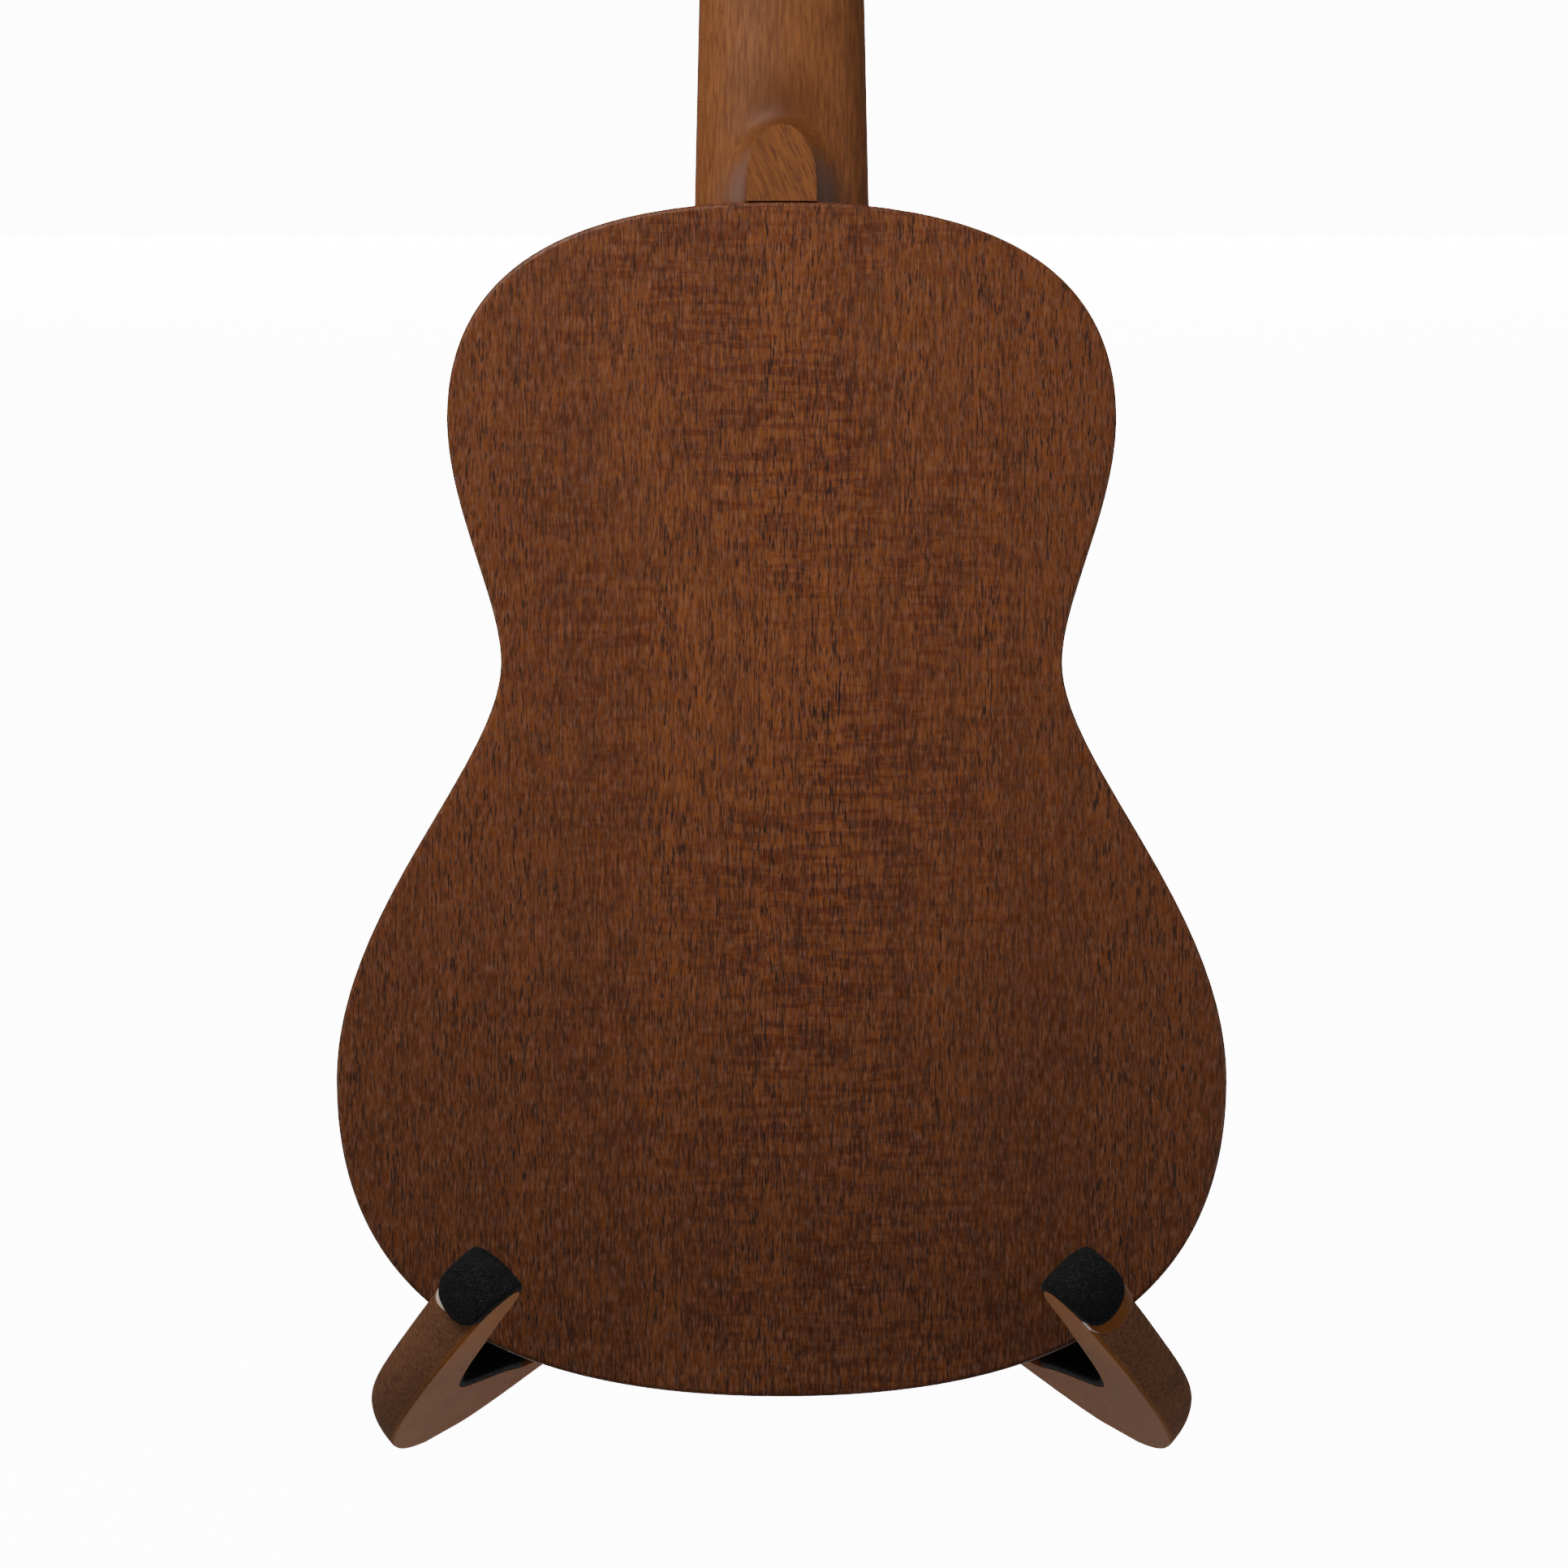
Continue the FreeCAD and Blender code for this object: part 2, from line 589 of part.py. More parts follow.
def oval_button(x, y, z, side):
    """A finger button: an oval paddle with softened edges, bored for its shaft at x."""
    half, thick, long = size("button_width") / 2, size("button_thickness"), size("button_length")
    centre = Vector(x + side * long / 2, y, z)
    oval = Part.Ellipse(centre + Vector(0, 0, half), centre + Vector(long / 2, 0, 0), centre)
    paddle = Part.Face(Part.Wire(oval.toShape())).extrude(Vector(0, thick, 0))
    paddle.translate(Vector(0, -thick / 2, 0))
    paddle = paddle.makeFillet(0.4 * thick, paddle.Edges)
    bore = Part.makeCylinder(size("shaft_radius") + 0.02, shaft_bite * long + 1,
                             Vector(x - side, y, z), Vector(side, 0, 0))
    return paddle.cut(bore)


def toothed(radius, thick, teeth):
    """A small worm wheel: a disc with straight notches round its rim, about the y axis."""
    disc = Part.makeCylinder(radius, thick, Vector(0, 0, 0), Vector(0, 1, 0))
    for k in range(teeth):
        notch = Part.makeCylinder(0.28 * math.pi * radius / teeth, thick, Vector(radius, 0, 0),
                                  Vector(0, 1, 0))
        notch.rotate(Vector(0, 0, 0), Vector(0, 1, 0), 360.0 * k / teeth)
        disc = disc.cut(notch)
    return disc


plate_long, plate_wide, plate_thick = (size("tuner_plate_length"), size("tuner_plate_width"),
                                       size("tuner_plate_thickness"))
gear_r, gear_t = size("gear_radius"), size("gear_thickness")
worm_r, worm_long, shaft_r = size("worm_radius"), size("worm_length"), size("shaft_radius")
shaft_in = worm_long / 2 + 1.5
worm_offset = gear_r + worm_r + 0.15
ear_t = 1.4
gear_lift = worm_r + 0.3 - gear_t / 2
plates, bushings, screws = [], [], []
for side, along, place in posts:
    hand = "bass" if side > 0 else "treble"
    tag = f"{hand}_{place}"
    x, back_y = side * post_x, -head_t
    gear_y = back_y - plate_thick - gear_lift - gear_t
    post_end = size("veneer_thickness") + size("post_stand")
    post = head_cylinder(x, along, post_r, gear_y, post_end)
    post = post.cut(Part.makeCylinder(0.7, 20, Vector(x - 10, post_end - 2.2, along), Vector(1, 0, 0)))
    shaped(f"post_{tag}", post, head_lean)
    gear = toothed(gear_r, gear_t, int(size("gear_teeth")))
    gear.translate(Vector(x, gear_y, along))
    shaped(f"gear_{tag}", gear.cut(head_cylinder(x, along, post_r, gear_y - 1, gear_y + gear_t + 1)),
           head_lean)
    # the worm runs across the head beside the gear, towards the edge
    worm_z, worm_y = along + worm_offset, gear_y + gear_t / 2
    edge_x = size("head_width") / 2
    outer = edge_x + 5
    worm = Part.makeCylinder(worm_r, worm_long, Vector(x - worm_long / 2, worm_y, worm_z),
                             Vector(1, 0, 0))
    inner_end = min(abs(x) - shaft_in, outer)
    bite = shaft_bite * size("button_length")
    shaft_line = Part.makeCylinder(shaft_r, outer + bite - inner_end,
                                   Vector(side * inner_end, worm_y, worm_z), Vector(side, 0, 0))
    shaped(f"worm_{tag}", worm.fuse(shaft_line).removeSplitter(), head_lean)
    shaped(f"button_{tag}", oval_button(side * outer, worm_y, worm_z, side), head_lean)
    # base plate with two ears that carry the worm
    low_z = along - plate_long * 0.38
    base = Part.makeBox(plate_wide, plate_thick, plate_long,
                        Vector(x - plate_wide / 2, back_y - plate_thick, low_z))
    base = base.cut(head_cylinder(x, along, post_r + gap, back_y - 5, back_y + 5))
    ear_deep = gear_t / 2 + gear_lift + shaft_r + 1.2
    for ear_x in (x - plate_wide / 2, x + plate_wide / 2 - ear_t):
        ear = Part.makeBox(ear_t, ear_deep, 6, Vector(ear_x, back_y - plate_thick - ear_deep,
                                                      worm_z - 3))
        base = base.fuse(ear)
    shaft_room = Part.makeCylinder(shaft_r + gap, 60, Vector(x - 30, worm_y, worm_z), Vector(1, 0, 0))
    base = base.cut(shaft_room)
    screw_z = (low_z + 3, low_z + plate_long - 3)
    for z in screw_z:
        base = base.cut(head_cylinder(x, z, 1.1, back_y - 5, back_y + 5))
        head = Part.makeSphere(2.0, Vector(x, back_y - plate_thick, z)).common(
            Part.makeBox(6, 1.1, 6, Vector(x - 3, back_y - plate_thick - 1.1, z - 3)))
        screws.append(head.fuse(head_cylinder(x, z, 1.05, back_y - plate_thick, back_y + 7)))
    plates.append(base.removeSplitter())
    front = size("veneer_thickness")
    collar = head_cylinder(x, along, size("bushing_radius"), front, front + 1.4)
    sleeve = head_cylinder(x, along, size("bushing_radius") - 1.05, -6, front)
    bushings.append(collar.fuse(sleeve).cut(head_cylinder(x, along, post_r + gap, -20, 20)))
shaped("tuner_plates", Part.makeCompound(plates), head_lean)
shaped("tuner_bushings", Part.makeCompound(bushings), head_lean)
shaped("tuner_screws", Part.makeCompound(screws), head_lean)
neck_part = [obj for obj in kept if obj.Label == "neck"][0]
neck_part.Shape = neck_part.Shape.cut(Part.makeCompound(screws).transformed(head_lean.toMatrix()))

# ---------------------------------------------------------------- stand
slant, rise_angle = math.radians(size("board_slant")), math.radians(size("spine_rise"))
board_thick, slot_gap = size("board_thickness"), size("slot_gap")
# Corners of a board in its own plane: first number rearwards along the spine, second up the board.
crook = [(-18, -83.5), (-7, -89.5), (4, -95), (14, -100), (24, -104), (34, -105.5), (43, -102.5),
         (53, -97.5), (66, -91.4), (79, -86)]
backrest = [(88, -77), (94.5, -57), (98, -30), (98, 0), (92, 28), (78, 52), (65, 68)]
prong_top = [(56, 84), (53, 104), (57, 115), (66, 117), (74, 106)]
rear_edge = [(84, 82), (100, 54), (116, 30), (132, 8), (152, -6), (170, -13)]
rear_foot = [(178.5, -21), (174, -29.5), (162, -32)]
arch = [(138, -35), (118, -46), (105, -62), (96, -82)]
front_foot = [(88, -101), (79, -113), (66, -122), (50, -127), (34, -127.5), (18, -123.5),
              (4, -116.5), (-9, -108), (-20, -99), (-26.5, -91), (-25.5, -84)]

# a deeper or thinner body moves all that stands behind the middle of the cradle
deeper = (size("body_depth") - size("cradle_depth")) / math.cos(rise_angle)


def drawn(points):
    """Points of the outline, fitted to the depth of the body."""
    return [(back + deeper if back > size("cradle_depth") / 2 else back, up) for back, up in points]


crook, backrest, prong_top, front_foot = (drawn(p) for p in (crook, backrest, prong_top, front_foot))
board_points = (crook + backrest + prong_top + drawn(rear_edge) + drawn(rear_foot) + drawn(arch)
                + front_foot)


def closed_curve(points, spans=6):
    """A smooth closed wire through the points, as a few edges that meet in line."""
    curve = Part.BSplineCurve()
    curve.interpolate([Vector(x, y, 0) for x, y in points], True)
    first, step = curve.FirstParameter, (curve.LastParameter - curve.FirstParameter) / spans
    return Part.Wire([curve.toShape(first + k * step, first + (k + 1) * step).toNurbs().Edges[0]
                      for k in range(spans)])


def board_frame(side, height):
    """The inner face of a board: x rearwards along the spine, y up the board."""
    rear = Vector(0, math.cos(rise_angle), -math.sin(rise_angle))
    up = Vector(-side * math.sin(slant), math.cos(slant) * math.sin(rise_angle),
                math.cos(slant) * math.cos(rise_angle))
    out = rear.cross(up)
    return Placement(Matrix(rear.x, up.x, out.x, 0, rear.y, up.y, out.y, 0,
                            rear.z, up.z, out.z, height, 0, 0, 0, 1))


def turns_left(curve, steps=60):
    """Whether the board lies to the right of its outline, so that outwards is to the left."""
    first, last = curve.FirstParameter, curve.LastParameter
    dots = [curve.value(first + (last - first) * k / steps) for k in range(steps)]
    area = sum(a.x * b.y - b.x * a.y for a, b in zip(dots, dots[1:] + dots[:1]))
    return area < 0


def strip(start, end, thick, steps=60):
    """A strip glued on the edge of a board between two of its points, in the board's plane."""
    curve = Part.BSplineCurve()
    curve.interpolate([Vector(x, y, 0) for x, y in board_points], True)
    low, period = curve.FirstParameter, curve.LastParameter - curve.FirstParameter
    first, last = curve.parameter(Vector(*start, 0)), curve.parameter(Vector(*end, 0))
    if last < first:
        last += period
    turn = 1 if turns_left(curve) else -1
    glued, free = [], []
    for k in range(steps + 1):
        at = low + (first + (last - first) * k / steps - low) % period
        along = Vector(*curve.tangent(at)[0])
        off = Vector(-along.y, along.x, 0) * turn
        glued.append(curve.value(at) + off * size("pad_glue"))
        free.append(curve.value(at) + off * thick)
    edges = []
    for points in (glued, free):
        line = Part.BSplineCurve()
        line.interpolate(points)
        edges.append(line.toShape())
    edges += [Part.makeLine(glued[0], free[0]), Part.makeLine(glued[-1], free[-1])]
    return Part.Face(Part.Wire(Part.__sortEdges__(edges)))


pad_wide = board_thick - size("board_round") * 0.55 - size("pad_inset")


def pad_solid(side, ring):
    """A strip through the width of its pad, set in from the board's inner face."""
    start = size("pad_inset") if side > 0 else -size("pad_inset") - pad_wide
    solid = ring.extrude(Vector(0, 0, pad_wide))
    solid.translate(Vector(0, 0, start))
    return solid


cradle_strip = strip(front_foot[-3], crook[-1], size("cradle_pad"))
rib_line = [edge.valueAt(edge.FirstParameter + (edge.LastParameter - edge.FirstParameter) * k / 40)
            for edge in outline.Edges for k in range(40)]
rib_line = sorted((p for p in rib_line if p.x > 0 and p.y < size("waist_at")), key=lambda p: p.y)


def clear_of_ribs(x, z):
    """How far a point beside the lower bout lies outside the body's outline, negative inside it."""
    spot, nearest = Vector(x, z, 0), size("body_length")
    for a, b in zip(rib_line, rib_line[1:]):
        along = b - a
        share = min(max((spot - a).dot(along) / along.dot(along), 0), 1)
        off = spot - a - along * share
        if off.Length < abs(nearest):
            nearest = off.Length if along.cross(off).z < 0 else -off.Length
    return nearest


def seat_height():
    """The spine's height above the tail that leaves the seat gap between cradle and ribs."""
    face = board_frame(1, 0)
    spots = [face.multVec(Vector(p.x, p.y, size("pad_inset") + pad_wide * share))
             for edge in cradle_strip.Edges for p in edge.discretize(200) for share in (0, 0.5, 1)]
    spots = [p for p in spots if 0.4 * size("edge_round") < p.y < depth]
    low, high = 0, size("lower_bout")
    while high - low > 0.01:
        height = (low + high) / 2
        tight = min(clear_of_ribs(p.x, p.z + height) for p in spots) < size("seat_gap")
        low, high = (low, height) if tight else (height, high)
    return low


spine_height = seat_height()

# where the other board passes through this one, measured up the board
cross_low = board_thick / math.tan(2 * slant) - slot_gap
cross_high = board_thick / math.sin(2 * slant) + slot_gap
lap, far = size("lap_at"), 90
slots = {1: (lap - slot_gap / 2, lap + far), -1: (lap - far, lap + slot_gap / 2)}


def board(label, side):
    """One flat board: padded outline, rounded outer rim, and half of the cross lap."""
    body = doc.addObject("PartDesign::Body", label)
    sketch = sketch_on(body, "XY_Plane", [closed_curve(board_points)])
    pad(body, sketch, "@board_thickness", reverse=side < 0)
    doc.recompute()
    round_over(body, "z", side * board_thick, "@board_round")
    first, last = slots[side]
    notch = flat([(first, cross_low), (last, cross_low), (last, cross_high), (first, cross_high)])
    cut = pocket(body, sketch_on(body, "XY_Plane", [notch]), "2 * @board_thickness")
    cut.Midplane = True
    body.Placement = board_frame(side, spine_height)
    return keep(body, label)


board_right, board_left = board("board_right", 1), board("board_left", -1)


for side, hand in ((1, "right"), (-1, "left")):
    frame = board_frame(side, spine_height)
    shaped(f"cradle_pad_{hand}", pad_solid(side, cradle_strip), frame)
    shaped(f"backrest_pad_{hand}",
           pad_solid(side, strip(backrest[-1], prong_top[1], size("back_pad"))), frame)

# ---------------------------------------------------------------- stand it on the floor
doc.recompute()
for obj in doc.Objects:
    if "Invalid" in obj.State or "Error" in obj.State:
        raise SystemExit(f"{obj.Label} failed: {obj.State}")

tilt = Placement(Vector(0, 0, 0), Rotation(Vector(1, 0, 0), -size("lean")))
for obj in kept:
    obj.Placement = tilt.multiply(obj.Placement)


def level_feet(blank, ground):
    """Plane a board's feet level, so that they stand flat."""
    cut = doc.addObject("Part::Cut", blank.Label + "_level")
    cut.Base, cut.Tool = blank, ground
    label, blank.Label = blank.Label, blank.Label + "_blank"
    kept[kept.index(blank)] = cut
    cut.Label = label


lowest = min(obj.Shape.optimalBoundingBox(False).ZMin for obj in (board_left, board_right))
ground = doc.addObject("Part::Box", "ground")
for edge_name in ("Length", "Width", "Height"):
    ground.setExpression(edge_name, cell("10 * @board_thickness + 3 * @lower_bout"))
doc.recompute()
ground.Placement = Placement(Vector(-ground.Length.Value / 2, -ground.Width.Value / 2,
                                    lowest + size("foot_trim") - ground.Height.Value), Rotation())
for blank in (board_left, board_right):
    level_feet(blank, ground)
doc.recompute()
box = FreeCAD.BoundBox()
for obj in kept:
    box.add(obj.Shape.optimalBoundingBox(False))
drop = Placement(Vector(-(box.XMin + box.XMax) / 2, -(box.YMin + box.YMax) / 2, -box.ZMin),
                 Rotation())
for obj in kept:
    obj.Placement = drop.multiply(obj.Placement)
    if obj.Shape.isNull() or not obj.Shape.isValid():
        raise SystemExit(f"{obj.Label} has no valid shape")
    obj.Shape.exportStep(f"parts/{obj.Label}.step")
    print(obj.Label, len(obj.Shape.Solids), round(obj.Shape.Volume))
place = drop.multiply(tilt)
print("place", list(place.Base), "box", box.XLength, box.YLength, box.ZLength)
for side, along, place_name in posts:
    foot = place.multiply(head_lean).multVec(Vector(side * post_x, 0, along))
    worm_at = place.multiply(head_lean).multVec(
        Vector(0, -head_t - plate_thick - gear_lift - gear_t / 2, along + worm_offset))
    print("post", side, place_name, list(foot), "worm", list(worm_at))
print("head axis", list(place.multiply(head_lean).Rotation.multVec(Vector(0, 1, 0))))
print("spine", list(place.Rotation.multVec(Vector(0, -math.cos(rise_angle), math.sin(rise_angle)))))
print("spine height", spine_height)
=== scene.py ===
"""A small mahogany guitar, seen from behind, leaning in a cross-lapped wooden stand."""
import bmesh
import bpy
import math
import numpy
from mathutils import Matrix, Vector, noise


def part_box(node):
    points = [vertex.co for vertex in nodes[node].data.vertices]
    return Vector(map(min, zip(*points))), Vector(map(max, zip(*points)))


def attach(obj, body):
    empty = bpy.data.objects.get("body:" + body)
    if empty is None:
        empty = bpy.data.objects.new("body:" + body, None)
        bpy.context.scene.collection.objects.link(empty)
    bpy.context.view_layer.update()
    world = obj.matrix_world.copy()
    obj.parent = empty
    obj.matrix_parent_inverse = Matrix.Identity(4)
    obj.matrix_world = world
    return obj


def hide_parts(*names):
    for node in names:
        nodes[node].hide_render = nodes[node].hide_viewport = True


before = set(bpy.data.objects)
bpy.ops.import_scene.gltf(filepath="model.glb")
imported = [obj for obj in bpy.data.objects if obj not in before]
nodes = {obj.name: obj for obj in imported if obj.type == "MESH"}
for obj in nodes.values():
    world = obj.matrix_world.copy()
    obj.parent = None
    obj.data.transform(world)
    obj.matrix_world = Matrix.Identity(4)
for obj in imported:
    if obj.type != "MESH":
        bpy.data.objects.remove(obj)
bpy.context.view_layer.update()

# Where the instrument stands.
# It leans back in the stand, and every piece of it shares that lean. Its own measures start at
# the tail end of the back's outer face.
LEAN = math.radians(14)
PLATE = 0.0022
_, back_foot, back_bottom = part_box("body_back")[0]
tail = Vector((0, back_foot, back_bottom + PLATE * math.sin(LEAN)))
leaning = Matrix.Translation(tail) @ Matrix.Rotation(-LEAN, 4, "X")


def on_instrument(x, y, z):
    """A world point from the instrument's measures: across, back to front, up the body."""
    return leaning @ Vector((x, y, z))


# Camera.
# It looks square at the instrument's back from 1.3 metres away, and takes in the body and the
# lower end of the neck.
VIEW_DISTANCE = 1.300
VIEW_WIDTH = 0.3906
VIEW_CENTRE = (0.0006, 0.1527)
SENSOR, FARTHEST = 36, 20


def linked(name, data):
    """An object in the scene, at the origin."""
    thing = bpy.data.objects.new(name, data)
    bpy.context.collection.objects.link(thing)
    return thing


lens_data = bpy.data.cameras.new("camera")
lens_data.sensor_width = SENSOR
lens_data.lens = SENSOR * VIEW_DISTANCE / VIEW_WIDTH
lens_data.clip_end = FARTHEST
camera = linked("camera", lens_data)
camera.location = on_instrument(VIEW_CENTRE[0], -VIEW_DISTANCE, VIEW_CENTRE[1])
camera.rotation_euler = (math.radians(90) - LEAN, 0, 0)
bpy.context.scene.camera = camera


# Floor and light.
# A white room with a pale floor, a glowing white screen behind the object, and a near softbox
# high on the left. The room is only seen: it throws no light at the object.
def graph(material):
    """The node tree of a material, with its Principled shader."""
    material.use_nodes = True
    tree = material.node_tree
    return tree, tree.nodes["Principled BSDF"]


def add(tree, kind, **settings):
    """A node with its properties set, and its inputs set by name or linked."""
    node = tree.nodes.new(kind)
    inputs = settings.pop("inputs", {})
    for key, setting in settings.items():
        setattr(node, key, setting)
    for key, source in inputs.items():
        socket = node.inputs[key]
        if isinstance(source, bpy.types.NodeSocket):
            tree.links.new(source, socket)
        else:
            socket.default_value = source
    return node


WHITE, PALE = (1, 1, 1, 1), (0.8, 0.8, 0.8, 1)
UPRIGHT = Matrix.Rotation(math.radians(90), 4, "X")


def screen(name, place, width, strength, unlit):
    """A glowing white sheet, hidden from the kinds of light ray that are named."""
    mesh = bpy.data.meshes.new(name)
    half = width / 2
    mesh.from_pydata([place @ Vector(c) for c in ((-half, -half, 0), (half, -half, 0),
                                                  (half, half, 0), (-half, half, 0))],
                     [], [(0, 1, 2, 3)])
    sheet = linked(name, mesh)
    paint = bpy.data.materials.new(name)
    shader = graph(paint)[1]
    shader.inputs["Base Color"].default_value = PALE
    shader.inputs["Emission Color"].default_value = WHITE
    shader.inputs["Emission Strength"].default_value = strength
    mesh.materials.append(paint)
    for ray in unlit:
        setattr(sheet, "visible_" + ray, False)


BACKDROP_BEHIND, BACKDROP, ROOM, FLOOR_DROP = 2.2, 1.35, 9.0, 0.0006
GLOW, SKY_GLOW = 13, 0.20
SEEN_ONLY = ("diffuse", "glossy", "transmission", "shadow")
screen("backdrop", leaning @ Matrix.Translation((0, BACKDROP_BEHIND, VIEW_CENTRE[1])) @ UPRIGHT,
       BACKDROP, GLOW, ("glossy",))
screen("floor", Matrix.Translation((0, 0, -FLOOR_DROP)), ROOM, GLOW, SEEN_ONLY)
screen("ceiling", Matrix.Translation((0, 0, ROOM / 2)), ROOM, GLOW, SEEN_ONLY)
for quarter in range(4):
    screen(f"wall_{quarter}", Matrix.Rotation(math.radians(90 * quarter), 4, "Z")
           @ Matrix.Translation((0, ROOM / 2, 0)) @ UPRIGHT, ROOM, GLOW, SEEN_ONLY)

world = bpy.data.worlds.new("studio")
world.use_nodes = True
sky = world.node_tree.nodes["Background"]
sky.inputs["Color"].default_value = WHITE
sky.inputs["Strength"].default_value = SKY_GLOW
bpy.context.scene.world = world


def soft_light(name, place, aim, width, power):
    """A square soft light aimed at a point."""
    data = bpy.data.lights.new(name, "AREA")
    data.size, data.energy = width, power
    light = linked(name, data)
    light.location = place
    light.rotation_euler = (Vector(aim) - Vector(place)).to_track_quat("-Z", "Y").to_euler()


heel_spot, waist_spot = on_instrument(0, 0.03, 0.30), on_instrument(0, 0.03, 0.2)
crook_spot, lap_spot = (0, -0.04, 0.06), (0, -0.02, 0)
for name, place, aim, width, power in (
        ("key", (-0.42, -0.50, 1.10), heel_spot, 0.45, 14.0),
        ("fill", (1.5, -1.3, 0.8), waist_spot, 1.4, 6.0),
        ("low left", (-1.0, -0.40, 0.02), crook_spot, 0.5, 2.2),
        ("low right", (1.0, -0.40, 0.02), crook_spot, 0.5, 2.0),
        ("under", (0, 0.14, -0.50), lap_spot, 0.5, 1.7)):
    soft_light(name, place, aim, width, power)


# Back.
# One sheet of mahogany ply with open pores, sanded and sprayed satin, and glued to the linings
# of the ribs. Its grain runs up the body, with faint bars across it in the middle.
def streaks(tree, where, stretch, detail=3.0, rough=0.55):
    """Noise stretched by three scales, per metre."""
    laid = add(tree, "ShaderNodeMapping", inputs={"Vector": where, "Scale": stretch})
    return add(tree, "ShaderNodeTexNoise",
               inputs={"Vector": laid.outputs[0], "Scale": 1.0, "Detail": detail,
                       "Roughness": rough}).outputs["Fac"]


def ramp(tree, source, low, high, low_colour=(0, 0, 0, 1), high_colour=(1, 1, 1, 1)):
    """Two colours with a straight blend between two values of the source."""
    node = add(tree, "ShaderNodeValToRGB", inputs={"Fac": source})
    first, last = node.color_ramp.elements
    first.position, first.color = low, low_colour
    last.position, last.color = high, high_colour
    return node.outputs["Color"]


def blend(tree, amount, first, second, kind="MIX"):
    """Two colours mixed by an amount."""
    node = add(tree, "ShaderNodeMix", data_type="RGBA", blend_type=kind)
    for slot, source in ((0, amount), (6, first), (7, second)):
        if isinstance(source, bpy.types.NodeSocket):
            tree.links.new(source, node.inputs[slot])
        else:
            node.inputs[slot].default_value = source
    return node.outputs[2]


def sums(tree, kind, *numbers):
    """One step of arithmetic."""
    return add(tree, "ShaderNodeMath", operation=kind,
               inputs=dict(enumerate(numbers))).outputs[0]


def colour(red, green, blue):
    """An opaque colour."""
    return (red, green, blue, 1)


def grey(level):
    """An opaque grey."""
    return (level, level, level, 1)


def fade(tree, source, near, far, at_near, at_far):
    """A smooth change from one value to another, between two values of the source."""
    return add(tree, "ShaderNodeMapRange", interpolation_type="SMOOTHSTEP",
               inputs={"Value": source, "From Min": near, "From Max": far, "To Min": at_near,
                       "To Max": at_far}).outputs["Result"]


# noise scales per metre, twice across the grain and then along it, and how they are mixed
FIBRE, PORES, BANDS = (1500, 1500, 130), (2900, 2900, 280), (75, 75, 3.5)
BARS, PATCHES, MIST = (105, 105, 640), (24, 24, 13), (1900, 1900, 330)
FIBRE_SHARE, TONE_LOW, TONE_HIGH = 0.72, 0.39, 0.60
# where the painted shade darkens the wood away from its middle and towards its foot
MIDDLE_FULL, MIDDLE_GONE, TOE_FULL, TOE_GONE = 0.015, 0.085, 0.02, 0.20
BAR_TINT, MIST_COLOUR = colour(0.68, 0.56, 0.50), colour(0.21, 0.11, 0.078)
BARS_AT_EDGE, PORE_SOFT, PORE_DEPTH, PORE_DULL, RELIEF_HEIGHT = 0.2, 0.075, 0.9, 0.3, 0.0003


